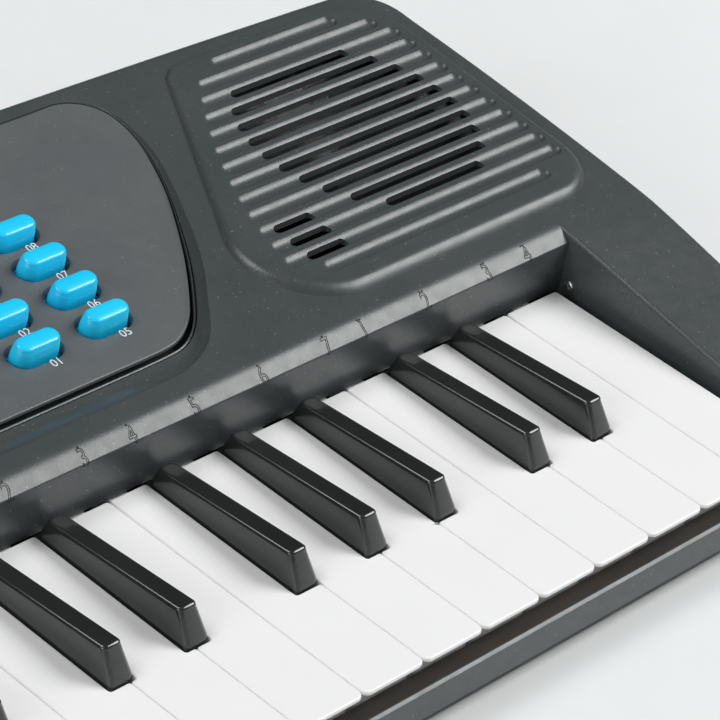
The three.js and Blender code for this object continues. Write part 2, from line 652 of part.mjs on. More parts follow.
function blackKey({ x }) {
  const half = BLACK_WIDTH / 2;
  const topHalf = BLACK_TOP_WIDTH / 2;
  const rear = WHITE_REAR - BLACK_REAR_GAP;
  const [zf, zr] = [WHITE_TOP + BLACK_RISE_FRONT, WHITE_TOP + BLACK_RISE_REAR];
  const side = along([
    [BLACK_FRONT, BLACK_SKIRT_Z], [rear, BLACK_SKIRT_Z], [rear, zr],
    [BLACK_FRONT + BLACK_NOSE, zf], [BLACK_FRONT, WHITE_TOP + BLACK_NOSE_RISE],
  ], x - half, x + half);
  const slope = new THREE.Shape([
    new THREE.Vector2(-half, BLACK_SKIRT_Z - 1), new THREE.Vector2(half, BLACK_SKIRT_Z - 1),
    new THREE.Vector2(half, WHITE_TOP), new THREE.Vector2(topHalf, zf + 1),
    new THREE.Vector2(-topHalf, zf + 1), new THREE.Vector2(-half, WHITE_TOP),
  ]);
  const wedge = new THREE.ExtrudeGeometry(slope, { depth: BLACK_LENGTH + 2, bevelEnabled: false });
  wedge.rotateX(Math.PI / 2);
  wedge.translate(x, WHITE_REAR + 1, 0);
  const hollow = block(x - half + KEY_WALL, x + half - KEY_WALL, BLACK_FRONT + BLACK_FRONT_WALL,
    rear - KEY_WALL, 0, WHITE_TOP + 1);
  const arm = keyArm(x, BLACK_ARM, rear - KEY_WALL);
  const press = upright(rectangle(x, CONTACT_Y, BLACK_PRESS, PRESS_DEPTH), BLACK_POST_Z, WHITE_TOP + 2);
  return join([side.intersect(solid(wedge)).subtract(hollow), arm, press]);
}

function keyRail() {
  const rise = Math.sqrt(ROD_R ** 2 - RAIL_WEB ** 2);
  const start = Math.atan2(-rise, RAIL_WEB);
  const head = [];
  for (let k = 0; k <= 12; k += 1) {
    const angle = start + (k / 12) * (Math.PI - 2 * start);
    head.push([HINGE_Y + ROD_R * Math.cos(angle), HINGE_Z + ROD_R * Math.sin(angle)]);
  }
  const foot = [
    [HINGE_Y - RAIL_WEB, RAIL_FOOT_Z], [HINGE_Y - RAIL_FOOT, RAIL_FOOT_Z], [HINGE_Y - RAIL_FOOT, SEAM_Z],
    [HINGE_Y + RAIL_FOOT, SEAM_Z], [HINGE_Y + RAIL_FOOT, RAIL_FOOT_Z], [HINGE_Y + RAIL_WEB, RAIL_FOOT_Z],
  ];
  return along([...head, ...foot], -WELL_HALF + RAIL_SHORT, WELL_HALF - RAIL_SHORT);
}

const keyCentres = [
  ...whiteKeys.map((key) => {
    const [x0, x1] = rearSpan(key);
    return (x0 + x1) / 2;
  }),
  ...blackKeys.map(({ x }) => x),
];

function keyBoard() {
  return block(-KEY_BOARD_HALF, KEY_BOARD_HALF, CONTACT_Y - KEY_BOARD_DEPTH / 2,
    CONTACT_Y + KEY_BOARD_DEPTH / 2, KEY_BOARD_Z, KEY_BOARD_Z + BOARD);
}

function contactStrip() {
  const z0 = KEY_BOARD_Z + BOARD + GAP;
  const sheet = block(-KEY_BOARD_HALF + 1, KEY_BOARD_HALF - 1, CONTACT_Y - STRIP_DEPTH / 2,
    CONTACT_Y + STRIP_DEPTH / 2, z0, z0 + STRIP_THICK);
  const domes = keyCentres.map((x) =>
    post(x, CONTACT_Y, KEY_DOME_R, z0, z0 + STRIP_THICK + KEY_DOME, 8));
  return join([sheet, ...domes]);
}

// Felt that the keys' front walls come down on
function keyFelt() {
  return block(-WELL_HALF + RAIL_SHORT, WELL_HALF - RAIL_SHORT, WHITE_FRONT, WHITE_FRONT + FELT_DEPTH,
    SEAM_Z, SEAM_Z + FELT_THICK);
}

// ---------------------------------------------------------------- speakers

function speaker() {
  const profile = [
    ...SPEAKER_CONE, [SPEAKER_R - SPEAKER_RIM, 0], [SPEAKER_R, 0], ...SPEAKER_BASKET,
    [SPEAKER_MAGNET_R, SPEAKER_MAGNET_TOP], [SPEAKER_MAGNET_R, -SPEAKER_DEEP], [0, -SPEAKER_DEEP],
  ];
  const geometry = new THREE.LatheGeometry(profile.map(([r, z]) => new THREE.Vector2(r, z)).reverse(), 24);
  geometry.rotateX(Math.PI / 2);
  return geometry;
}

// ---------------------------------------------------------------- assembly

const keyboard = new THREE.Group();

function place(name, geometry, material) {
  const mesh = new THREE.Mesh(geometry, material);
  mesh.name = name;
  keyboard.add(mesh);
  return mesh;
}

const put = (name, body, material) => place(name, geometryOf(body), material);

put('lower_case', lowerCase(), LOWER_LOOK);
put('upper_case', upperCase(), CASE_LOOK);
put('control_panel', controlPanel(), PANEL_LOOK);
put('battery_door', batteryDoor(), LOWER_LOOK);
put('main_board', mainBoard(), BOARD_LOOK);
put('button_mat', buttonMat(), RUBBER_LOOK);
put('key_board', keyBoard(), BOARD_LOOK);
put('key_contact_strip', contactStrip(), RUBBER_LOOK);
put('key_rail', keyRail(), STEEL_LOOK);
put('key_felt', keyFelt(), FELT_LOOK);

buttonPlaces.forEach((at, i) => put(`rhythm_button_${i + 1}`, button(at), BLUE_LOOK));
SLIDERS.forEach((row) => put(row[0], slider(row), BLUE_LOOK));

[['speaker_right', 1], ['speaker_left', -1]].forEach(([name, side]) => {
  const mesh = place(name, speaker(), STEEL_LOOK);
  mesh.rotation.x = rad(PAD_TILT);
  mesh.position.set(side * SPEAKER_X, SPEAKER_Y, padZ(SPEAKER_Y) - SPEAKER_DROP);
});

whiteKeys.forEach((key) => put(key.name, whiteKey(key), WHITE_LOOK));
blackKeys.forEach((key) => put(key.name, blackKey(key), BLACK_LOOK));

export default keyboard;
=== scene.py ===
"""Looks of a toy electronic keyboard: moulded case, sunken panel, buttons, keys, camera and light.

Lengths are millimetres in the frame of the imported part, and become metres when a mesh is made.
u(n) is n white-key pitches. X runs to the treble end, Y to the back, Z up.
"""

import math

import bmesh
import bpy
from mathutils import Matrix, Vector
from mathutils.geometry import delaunay_2d_cdt


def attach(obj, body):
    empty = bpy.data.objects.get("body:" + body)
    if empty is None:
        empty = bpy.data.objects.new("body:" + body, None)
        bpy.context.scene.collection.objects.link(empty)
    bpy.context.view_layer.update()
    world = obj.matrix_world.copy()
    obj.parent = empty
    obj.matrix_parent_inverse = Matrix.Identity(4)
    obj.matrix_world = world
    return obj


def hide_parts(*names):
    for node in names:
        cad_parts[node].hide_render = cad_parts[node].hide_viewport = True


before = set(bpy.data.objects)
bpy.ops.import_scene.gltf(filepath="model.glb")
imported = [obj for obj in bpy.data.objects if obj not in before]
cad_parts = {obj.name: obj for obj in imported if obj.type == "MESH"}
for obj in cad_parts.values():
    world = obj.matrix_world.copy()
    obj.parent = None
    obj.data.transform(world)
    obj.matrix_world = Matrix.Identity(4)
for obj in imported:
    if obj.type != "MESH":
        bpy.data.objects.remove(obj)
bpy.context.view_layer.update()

# ---------------------------------------------------------------- dimensions

MM = 0.001
PITCH = 20.0


def u(n):
    return n * PITCH


# Case
CASE_FRONT, CASE_BACK = -u(5.08), u(5.08)
CASE_HALF = u(12.96)
SIDE_CROWN, SIDE_BOW = u(1.7), u(0.42)
BACK_BOW = u(0.24)
BACK_CORNER, FRONT_CORNER, CHEEK_CORNER = u(0.78), u(0.4), 3.0
SEAM_Z = 5.0
SEAM_EDGE, SEAM_INSIDE = 0.4, 4.0  # rounding at the seam, and how far the wall's inside is drawn
WALL = 2.5
LIP_Z = 14.0
RIM_WIDE, RIM_BEVEL, RIM_STEP = 1.15, 0.8, 0.4  # of the rim along the front edge
RIM_SLOPE = 0.66  # fall of its bevel for each millimetre
BEND_Z = 33.9
DECK_TILT, CHEEK_TILT = 5.4, 10.2
BEND_SOFT = 0.15
EDGE_ROUND, CHEEK_ROUND, MEET_ROUND = 2.5, 1.3, 0.3
WELL_HALF, WELL_REAR, WELL_FRONT = u(11.2), -u(0.62), -u(4.77)
LEDGE_DEPTH, LEDGE_DROP, LEDGE_ROUND = 4.0, 2.7, 6.5
DECK_EDGE = -5.4  # where the flat deck ends and the ledge begins
LEDGE_UNDER = -9.0  # how far under the ledge the skin reaches
LAP = 0.6  # the deck's sheet starts this far outside a rounded edge
KEY_PASS_Z = 16.8

# Speaker pads
PAD_FRONT, PAD_BACK, PAD_OUTER = -u(0.08), u(4.64), u(12.61)
PAD_INNER_FRONT, PAD_INNER_BACK = u(5.95), u(8.73)
PAD_TILT, PAD_LIFT_BACK = 4.6, 0.8
PAD_WALL_SLOPE = 1.6  # how far the pad's edge reaches in for each millimetre of lift
GROOVES, GROOVE_PITCH, GROOVE_FIRST = 14, u(0.304), u(4.36)
GROOVE_WIDTH, GROOVE_DEPTH = u(0.23), 1.1
GROOVE_LEFT, GROOVE_LEAN, GROOVE_CURVE, GROOVE_RIGHT = u(8.87), u(0.25), u(0.0088), u(12.41)
# Ends of the grooves that stop short of the pad's round corners
CORNER_GROOVES = {0: (u(9.4), u(11.75)), 1: (GROOVE_LEFT, u(12.25)), GROOVES - 1: (u(7.59), u(11.85))}
SLOT_WIDTH, SLOT_DEEP = u(0.155), 2.4
SLOT_ROWS = range(2, 12)
SHORT_SLOT_ROWS = (10, 11, 12)
SHORT_SLOT = (u(7.6), u(8.3))
SPEAKER_X, SPEAKER_Y, SLOT_CIRCLE_R = u(10.29), u(2.45), u(1.705)

# Panel and its recess
PANEL_TILT, PANEL_BACK = 8.0, u(4.74)
PANEL_THICK = 2.4
PLATE_EDGE = 0.9  # the plate is thinner round its rim
PLATE_FIT, PLATE_ROUND, PLATE_FLAT = 0.12, 0.35, 0.8  # side gap, edge, and where the flat face starts
PLATE_STEP = (2.0, 2.2)  # from the rim, where the plate grows to its full thickness
PANEL_DEEP = 6.0
SEAT_WIDTH = 7.0
# Widest size, and share of the cove's width, of the gap beside the plate, the thin rib and the slit
GAP, RIB, SLIT = (1.9, 0.2), (0.6, 0.13), (0.45, 0.1)
SLIT_DEEP, RIB_ROUND = 1.2, 0.12
APART = 0.0001  # share that keeps two lines from falling together

# Buttons
BUTTON_COLUMNS = (u(3.49), u(4.61))
BUTTON_FIRST_Y, BUTTON_PITCH, BUTTON_ROWS = u(1.24), u(0.575), 4
BUTTON_LENGTH, BUTTON_DEPTH = u(0.7), u(0.32)
BUTTON_RISE = 4.2
BUTTON_FLANGE, BUTTON_FLANGE_THICK, BUTTON_FLANGE_FIT = 0.9, 1.0, 0.4
# How much wider than the button the hole is at each depth under the face
HOLE_RINGS, HOLE_DROPS = (1.7, 1.3, 0.9, 0.8), (0.0, 0.05, 0.7, PANEL_THICK)
# The cap's side leans in from the first to the second size, then rounds over to a low dome
BUTTON_LEAN, BUTTON_ROUND = (0.4, 0.5), 1.1
BUTTON_DOME = ((2.1, 0.16), (2.7, 0.2))
LABEL_DOWN, LABEL_RIGHT, LABEL_SIZE = 5.5, 2.4, 3.5
INK_THICK = 0.02

# Keys
WHITE_TOP = 19.0
WHITE_REAR, WHITE_FRONT = -u(0.72), -u(4.73)
WHITE_GAP = 0.22
WHITE_CORNER, WHITE_EDGE, WHITE_FLAT = 2.0, 0.45, 0.9
OVERHANG, OVERHANG_THICK = 3.4, 1.0  # of a white key's top over the strip in front of it
SKIRT_Z, APRON_Z, BLACK_SKIRT_Z = 12.0, 9.5, 14.3
KEY_WALL, KEY_HOLLOW_Z, BLACK_HOLLOW_Z = 1.5, 17.0, 20.0
PRESS_Y, PRESS_DEPTH = -50.0, 3.0  # post that presses the rubber dome
WHITE_PRESS, WHITE_PRESS_Z, WHITE_ARM = 4.0, 13.9, 6.0
BLACK_PRESS, BLACK_PRESS_Z, BLACK_ARM = 3.0, 14.2, 4.4
APRON_DEEP = 2.4  # from a white key's front to where its side skirt starts
BLACK_FRONT, BLACK_REAR = -u(3.2), -u(0.74)
BLACK_WIDTH, BLACK_TOP_WIDTH = u(0.345), u(0.285)
BLACK_RISE_FRONT, BLACK_RISE_REAR = u(0.42), u(0.24)
BLACK_NOSE, BLACK_LEAN_REAR = u(0.2), 0.6  # how far the crest stands back at the front and the rear
BLACK_EDGE, BLACK_FLAT = 1.0, 1.4  # rounding of the crest, and where its flat top starts
BLACK_UPRIGHT = 1.4  # height above the white keys up to which the sides stand upright
BLACK_FOOT_ROUND, BLACK_CREST_ROUND = (1.3, 1.6), (1.5, 2.2)  # corners at the front and the rear
NOTCH_GAP, NOTCH_ROUND, REAR_ROUND = 0.5, 0.7, 1.0
HINGE_Y, HINGE_Z, HINGE_FIT = u(0.38), 12.0, 1.8
ARM_LOW, ARM_HIGH, ARM_TAIL = 10.5, 16.0, 3.6

# ---------------------------------------------------------------- surfaces


def slope(degrees):
    return math.tan(math.radians(degrees))


def deck_z(y):
    """Top of the case: the rear deck, bending softly down into the cheeks."""
    deck = BEND_Z + slope(DECK_TILT) * (y - WELL_REAR)
    cheek = BEND_Z + slope(CHEEK_TILT) * (y - WELL_REAR)
    return (deck + cheek) / 2 - math.hypot((deck - cheek) / 2, BEND_SOFT)


def pad_z(y):
    return deck_z(PAD_BACK) + PAD_LIFT_BACK - slope(PAD_TILT) * (PAD_BACK - y)


def panel_z(y):
    return deck_z(PANEL_BACK) - slope(PANEL_TILT) * (PANEL_BACK - y)


def case_half(y):
    return CASE_HALF - SIDE_BOW * ((SIDE_CROWN - y) / (SIDE_CROWN - CASE_FRONT)) ** 2


def case_back(x):
    return CASE_BACK - BACK_BOW * (x / CASE_HALF) ** 2


# ---------------------------------------------------------------- outlines


def steps(first, last, count):
    """Values from first to last with count equal steps between them."""
    return [first + (last - first) * k / count for k in range(count + 1)]


def rounded(corners, count=10):
    """Points of an outline whose corners (x, y, radius) are rounded; radius 0 keeps the point."""
    points = []
    for i, (x, y, r) in enumerate(corners):
        if r == 0:
            points.append((x, y))
            continue
        here = Vector((x, y))
        back = (Vector(corners[i - 1][:2]) - here).normalized()
        on = (Vector(corners[(i + 1) % len(corners)][:2]) - here).normalized()
        half = back.angle(on) / 2
        middle = here + (back + on).normalized() * (r / math.sin(half))
        start = here + back * (r / math.tan(half)) - middle
        end = here + on * (r / math.tan(half)) - middle
        turn = math.atan2(start.x * end.y - start.y * end.x, start.dot(end))
        for angle in steps(0, turn, count):
            c, s = math.cos(angle), math.sin(angle)
            points.append((middle.x + c * start.x - s * start.y, middle.y + s * start.x + c * start.y))
    return points


def curve(controls, count=4):
    """A smooth line through the control points, given as tuples of equal length."""
    points = []
    last = len(controls) - 1
    for i in range(last):
        a, b, c, d = [Vector(controls[max(0, min(last, i + k))]) for k in (-1, 0, 1, 2)]
        for t in steps(0, 1, count)[:-1]:
            move = (2 * b + (c - a) * t + (2 * a - 5 * b + 4 * c - d) * t**2
                    + (3 * b - a - 3 * c + d) * t**3)
            points.append(tuple(move / 2))
    return points + [tuple(controls[-1])]


def inset(line, distance, closed=True):
    """The line moved to its left by a distance, or by one distance for each point."""
    moved = []
    for i, here in enumerate(line):
        amount = distance[i] if isinstance(distance, list) else distance
        before = line[i - 1] if closed or i else None
        after = line[(i + 1) % len(line)] if closed or i < len(line) - 1 else None
        ways = []
        if before is not None:
            ways.append((Vector(here) - Vector(before)).normalized())
        if after is not None:
            ways.append((Vector(after) - Vector(here)).normalized())
        way = sum(ways, Vector((0, 0))).normalized()
        stretch = 1 / max(0.5, way.dot(ways[0]))
        moved.append((here[0] - way.y * amount * stretch, here[1] + way.x * amount * stretch))
    return moved


def pill(x, y, length, depth, count=8):
    """Outline with fully round ends, centred on x, y."""
    r = depth / 2 * 0.999
    hx, hy = length / 2, depth / 2
    return rounded([(x - hx, y - hy, r), (x + hx, y - hy, r), (x + hx, y + hy, r), (x - hx, y + hy, r)],
                   count)


def box_loop(x, half, front, rear, r_front, r_rear):
    """Rounded rectangle, centred on x, from front to rear."""
    return rounded([(x - half, front, r_front), (x + half, front, r_front), (x + half, rear, r_rear),
                    (x - half, rear, r_rear)], 5)


def holds(loop, x, y):
    """Whether the closed loop goes round the point."""
    inside = False
    for (ax, ay), (bx, by) in zip(loop, loop[1:] + loop[:1]):
        if (ay > y) != (by > y) and x < (bx - ax) * (y - ay) / (by - ay) + ax:
            inside = not inside
    return inside


# ---------------------------------------------------------------- meshes


class Skin:
    """Points and faces of one piece; points at the same place are shared."""

    def __init__(self):
        self.points, self.faces, self.known = [], [], {}

    def point(self, p):
        key = tuple(round(c, 3) for c in p)
        if key not in self.known:
            self.known[key] = len(self.points)
            self.points.append(tuple(p))
        return self.known[key]

    def face(self, *corners):
        """A face through the points given; one with fewer than three different points is dropped."""
        ring = []
        for p in corners:
            index = self.point(p)
            if index not in ring:
                ring.append(index)
        if len(ring) > 2:
            self.faces.append(ring)

    def bridge(self, a, b, closed=True):
        """Faces between two rings with the same number of points."""
        last = len(a) if closed else len(a) - 1
        for i in range(last):
            j = (i + 1) % len(a)
            self.face(a[i], a[j], b[j], b[i])

    def loft(self, rings, closed=True):
        """Faces between each ring and the next."""
        for a, b in zip(rings, rings[1:]):
            self.bridge(a, b, closed)

    def fill(self, outer, height, holes=(), lines=()):
        """Triangles of a region in plan, with holes, at the height given for each y."""
        loops = [outer, *holes]
        spots, edges = [], []
        for loop in loops:
            start = len(spots)
            spots += [Vector(p[:2]) for p in loop]
            edges += [(start + i, start + (i + 1) % len(loop)) for i in range(len(loop))]
        for line in lines:
            start = len(spots)
            spots += [Vector(p) for p in line]
            edges += [(start + i, start + i + 1) for i in range(len(line) - 1)]
        found, _, triangles = delaunay_2d_cdt(spots, edges, [], 1, 1e-5)[:3]
        for triangle in triangles:
            corners = [found[i] for i in triangle]
            middle = sum(corners, Vector((0, 0))) / 3
            if any(holds(hole, *middle) for hole in holes) or not holds(outer, *middle):
                continue
            self.face(*[(c.x, c.y, height(c.y)) for c in corners])

    def mirror(self):
        """Adds the piece's own mirror image across x = 0."""
        for ring in list(self.faces):
            self.face(*[(-self.points[i][0], *self.points[i][1:]) for i in reversed(ring)])

    def make(self, name, material, sharp=40):
        """The piece as an object, smooth except where faces meet at more than the sharp angle."""
        mesh = bpy.data.meshes.new(name)
        mesh.from_pydata([[c * MM for c in p] for p in self.points], [], self.faces)
        work = bmesh.new()
        work.from_mesh(mesh)
        bmesh.ops.recalc_face_normals(work, faces=work.faces)
        upward = sum(f.normal.z * f.calc_area() for f in work.faces if f.calc_center_median().z > 0)
        if any(e.is_boundary for e in work.edges) and upward < 0:
            bmesh.ops.reverse_faces(work, faces=work.faces)
        for face in work.faces:
            face.smooth = True
        for edge in work.edges:
            edge.smooth = len(edge.link_faces) != 2 or edge.calc_face_angle() < math.radians(sharp)
        work.to_mesh(mesh)
        work.free()
        piece = bpy.data.objects.new(name, mesh)
        bpy.context.scene.collection.objects.link(piece)
        mesh.materials.append(material)
        return piece


def flat(line, height, drop=0.0):
    """The plan line lifted to a surface, less a drop."""
    return [(x, y, height(y) - drop) for x, y in line]


def level(z):
    """A flat surface at height z, for flat and fill."""
    return lambda y: z


def quarter(radius, count=5):
    """Inset and drop of the points of a rounded edge, from the top face round to the side."""
    angles = steps(0, math.pi / 2, count)
    return [(radius * (1 - math.sin(a)), radius * (1 - math.cos(a))) for a in angles]


# ---------------------------------------------------------------- materials

DRIFT_SCALE, BLUR_SCALE, SPECK_SCALE = 45.0, 260.0, 1500.0  # of colour, roughness and dust noise
SPECK_COLOUR = (0.30, 0.32, 0.31, 1)
GRAIN_DEEP = 0.0001  # metres


def node(tree, kind, **values):
    """A shader node with its properties or inputs set by name."""
    made = tree.nodes.new(kind)
    for name, value in values.items():
        if hasattr(made, name):
            setattr(made, name, value)
        else:
            made.inputs[name].default_value = value
    return made


def noise(tree, spot, scale, detail=2.0):
    made = node(tree, "ShaderNodeTexNoise")
    made.inputs["Scale"].default_value = scale
    made.inputs["Detail"].default_value = detail
    tree.links.new(spot, made.inputs["Vector"])
    return made.outputs["Fac"]


def span(tree, value, low, high, out_low, out_high):
    """The value moved from one range to another."""
    made = node(tree, "ShaderNodeMapRange")
    for socket, number in zip(made.inputs[1:5], (low, high, out_low, out_high)):
        socket.default_value = number
    tree.links.new(value, made.inputs[0])
    return made.outputs[0]


def mixed(tree, share, one, other):
    made = node(tree, "ShaderNodeMix", data_type="RGBA")
    tree.links.new(share, made.inputs["Factor"])
    made.inputs[6].default_value = (*one, 1)
    made.inputs[7].default_value = (*other, 1)
    return made.outputs[2]


def finish_of(name, colour, shade, rough, grain=0.0, grain_scale=2500.0, specks=0.0, metal=0.0,
              coat=0.0):
    """A moulded or metal finish: colour drifts to shade, roughness varies, grain is a fine bump."""
    made = bpy.data.materials.new(name)
    made.use_nodes = True
    tree = made.node_tree
    shader = tree.nodes["Principled BSDF"]
    spot = node(tree, "ShaderNodeTexCoord").outputs["Object"]
    drift = span(tree, noise(tree, spot, DRIFT_SCALE, 3.0), 0.35, 0.65, 0.0, 1.0)
    tone = mixed(tree, drift, colour, shade)
    if specks:
        dots = span(tree, noise(tree, spot, SPECK_SCALE, 0.0), 0.78, 0.84, 0.0, specks)
        lift = node(tree, "ShaderNodeMix", data_type="RGBA")
        tree.links.new(dots, lift.inputs["Factor"])
        tree.links.new(tone, lift.inputs[6])
        lift.inputs[7].default_value = SPECK_COLOUR
        tone = lift.outputs[2]
    tree.links.new(tone, shader.inputs["Base Color"])
    blur = span(tree, noise(tree, spot, BLUR_SCALE, 2.0), 0.3, 0.7, rough[0], rough[1])
    tree.links.new(blur, shader.inputs["Roughness"])
    shader.inputs["Metallic"].default_value = metal
    shader.inputs["Coat Weight"].default_value = coat
    if grain:
        bump = node(tree, "ShaderNodeBump")
        bump.inputs["Strength"].default_value = grain
        bump.inputs["Distance"].default_value = GRAIN_DEEP
        tree.links.new(noise(tree, spot, grain_scale, 1.0), bump.inputs["Height"])
        tree.links.new(bump.outputs["Normal"], shader.inputs["Normal"])
    return made


CASE = finish_of("case_plastic", (0.054, 0.063, 0.064), (0.062, 0.071, 0.071), (0.28, 0.36),
                 grain=0.35, specks=0.4)
# Strip in front of the keys: its dark brown is painted shade from the white keys' overhang
LIP_SHADE = finish_of("lip_painted_shade", (0.024, 0.020, 0.017), (0.036, 0.029, 0.023), (0.40, 0.50), grain=0.4)
LOWER = finish_of("lower_plastic", (0.028, 0.031, 0.031), (0.034, 0.037, 0.037), (0.45, 0.55), grain=0.4)
PANEL = finish_of("panel_plastic", (0.100, 0.109, 0.113), (0.110, 0.119, 0.122), (0.36, 0.44),
                  grain=0.5, specks=0.25)
WHITE = finish_of("white_plastic", (0.87, 0.87, 0.87), (0.88, 0.88, 0.885), (0.31, 0.33))
BLACK = finish_of("black_plastic", (0.013, 0.015, 0.015), (0.018, 0.020, 0.020), (0.16, 0.24),
                  grain=0.12, grain_scale=3500.0, coat=0.5)
LINE = finish_of("note_line", (0.020, 0.023, 0.023), (0.030, 0.033, 0.033), (0.35, 0.45))
BLUE = finish_of("blue_plastic", (0.012, 0.60, 0.98), (0.018, 0.64, 1.0), (0.20, 0.28))
INK = finish_of("white_ink", (0.74, 0.75, 0.75), (0.80, 0.80, 0.80), (0.4, 0.5))
RUBBER = finish_of("contact_rubber", (0.22, 0.23, 0.23), (0.26, 0.26, 0.26), (0.6, 0.75), grain=0.3)
BOARD = finish_of("circuit_board", (0.15, 0.10, 0.035), (0.19, 0.13, 0.05), (0.4, 0.55), grain=0.2)
STEEL = finish_of("rail_steel", (0.38, 0.39, 0.40), (0.44, 0.45, 0.46), (0.25, 0.38), grain=0.1,
                  metal=0.9)
FELT = finish_of("red_felt", (0.20, 0.02, 0.03), (0.26, 0.03, 0.04), (0.85, 0.95), grain=1.0)
CONE = finish_of("speaker_paper", (0.005, 0.005, 0.006), (0.010, 0.010, 0.011), (0.30, 0.45), grain=0.6)
GLOSS = finish_of("glossy_screw", (0.55, 0.55, 0.56), (0.60, 0.60, 0.61), (0.10, 0.16), metal=0.9)

# ---------------------------------------------------------------- upper case

GROOVE_LINES = (0, 0.08, 0.2, 0.36, 0.55, 0.78, 1)  # from the groove's edge to its middle or its slot
# Shares of the way across the pad's edge and across the cove at which their lines are drawn
PAD_RINGS = (0.0, 0.06, 0.15, 0.28, 0.42, 0.56, 0.7, 0.85, 1.0)
COVE_RINGS = (0.0, 0.03, 0.08, 0.16, 0.26, 0.4, 0.55, 0.7, 0.85, 1.0)
# Lines at which the deck's sheet is cut, so that it follows the bend
BEND_LINES = (-34, -26, -20, -16, -12.4, -9, -5.5)


def wall_path():
    """Right half of the case's wall in plan: along the cheek's inner face, round its front, up the
    side and along the back to the middle."""
    inner = [(WELL_HALF, y, 0) for y in (DECK_EDGE, -7, -9, -11, -12.4, -14, -16, -20, -26, -34, -60,
                                         -90)]
    front = [(WELL_HALF, CASE_FRONT, CHEEK_CORNER), (case_half(CASE_FRONT), CASE_FRONT, FRONT_CORNER)]
    side = [(case_half(y), y, 0) for y in (-90, -70, -50, -34, -26, -20, -16, -12.4, -9, -5.5, 5, 20, 35,
                                           50, 65, 78)]
    corner = [(case_half(u(4)), case_back(CASE_HALF), BACK_CORNER)]
    back = [(x, case_back(x), 0) for x in range(235, 0, -15)] + [(0, case_back(0), 0)]
    return rounded(inner + front + side + corner + back)


def wall_round(y, x):
    """Radius of the wall's top edge: small on the cheeks, fading out where they meet the ledge."""
    if x > WELL_HALF + 1 or y > 0:
        return EDGE_ROUND
    if y < -u(1):
        return CHEEK_ROUND
    share = (DECK_EDGE - y) / (DECK_EDGE + u(1))
    return MEET_ROUND + (CHEEK_ROUND - MEET_ROUND) * share * (2 - share)


def ledge_profile():
    """Bevel and rear wall of the key well in side view, from the deck down and under."""
    edge = WELL_REAR + LEDGE_DEPTH
    return rounded([
        (DECK_EDGE, deck_z(DECK_EDGE), 0), (edge, deck_z(edge), LEDGE_ROUND),
        (WELL_REAR, deck_z(edge) - LEDGE_DROP, 0.6), (WELL_REAR, KEY_PASS_Z, 0.6),
        (LEDGE_UNDER, KEY_PASS_Z, 0),
    ], 6)


def lip_profile():
    """The strip in front of the keys in side view, from its inside over the top to its foot."""
    band = LIP_Z - RIM_STEP
    return rounded([
        (WELL_FRONT, SEAM_Z, 0), (WELL_FRONT, band, 0.4), (CASE_FRONT + RIM_WIDE + 0.1, band, 0.1),
        (CASE_FRONT + RIM_WIDE, LIP_Z, 0.1), (CASE_FRONT + RIM_BEVEL, LIP_Z, 0.1),
        (CASE_FRONT, LIP_Z - RIM_BEVEL * RIM_SLOPE, 0.15), (CASE_FRONT, SEAM_Z, SEAM_EDGE),
        (CASE_FRONT + WALL, SEAM_Z, 0), (CASE_FRONT + WALL, SEAM_Z + SEAM_INSIDE, 0),
    ], 5)


def pad_outline():
    return rounded([
        (PAD_INNER_FRONT, PAD_FRONT, u(1.1)), (PAD_OUTER, PAD_FRONT, u(0.85)),
        (PAD_OUTER, PAD_BACK, u(0.95)), (PAD_INNER_BACK, PAD_BACK, u(0.55)),
    ], 16)


def groove_y(row):
    """Middle of a groove; row 0 is the one at the back."""
    return GROOVE_FIRST - row * GROOVE_PITCH


def groove_ends(row):
    """Left and right end of a groove; both ends of the rows follow the pad's outline."""
    left = GROOVE_LEFT - GROOVE_LEAN * (row - 1) + GROOVE_CURVE * (row - 1) ** 2
    return CORNER_GROOVES.get(row, (left, GROOVE_RIGHT))


def slot_ends(row):
    """Ends of the slots cut through a groove: over the speaker, and the short ones at its left."""
    ends = []
    if row in SHORT_SLOT_ROWS:
        ends.append(SHORT_SLOT)
    if row in SLOT_ROWS:
        reach = math.sqrt(SLOT_CIRCLE_R**2 - (groove_y(row) - SPEAKER_Y) ** 2)
        ends.append((SPEAKER_X - reach, SPEAKER_X + reach))
    return ends


def round_ended(x, x0, x1, width):
    """Half width at x of a bar with round ends."""
    r = width / 2
    if x <= x0 or x >= x1:
        return 0.0
    past = max(x0 + r - x, x - (x1 - r), 0)
    return math.sqrt(max(0, r * r - past * past))


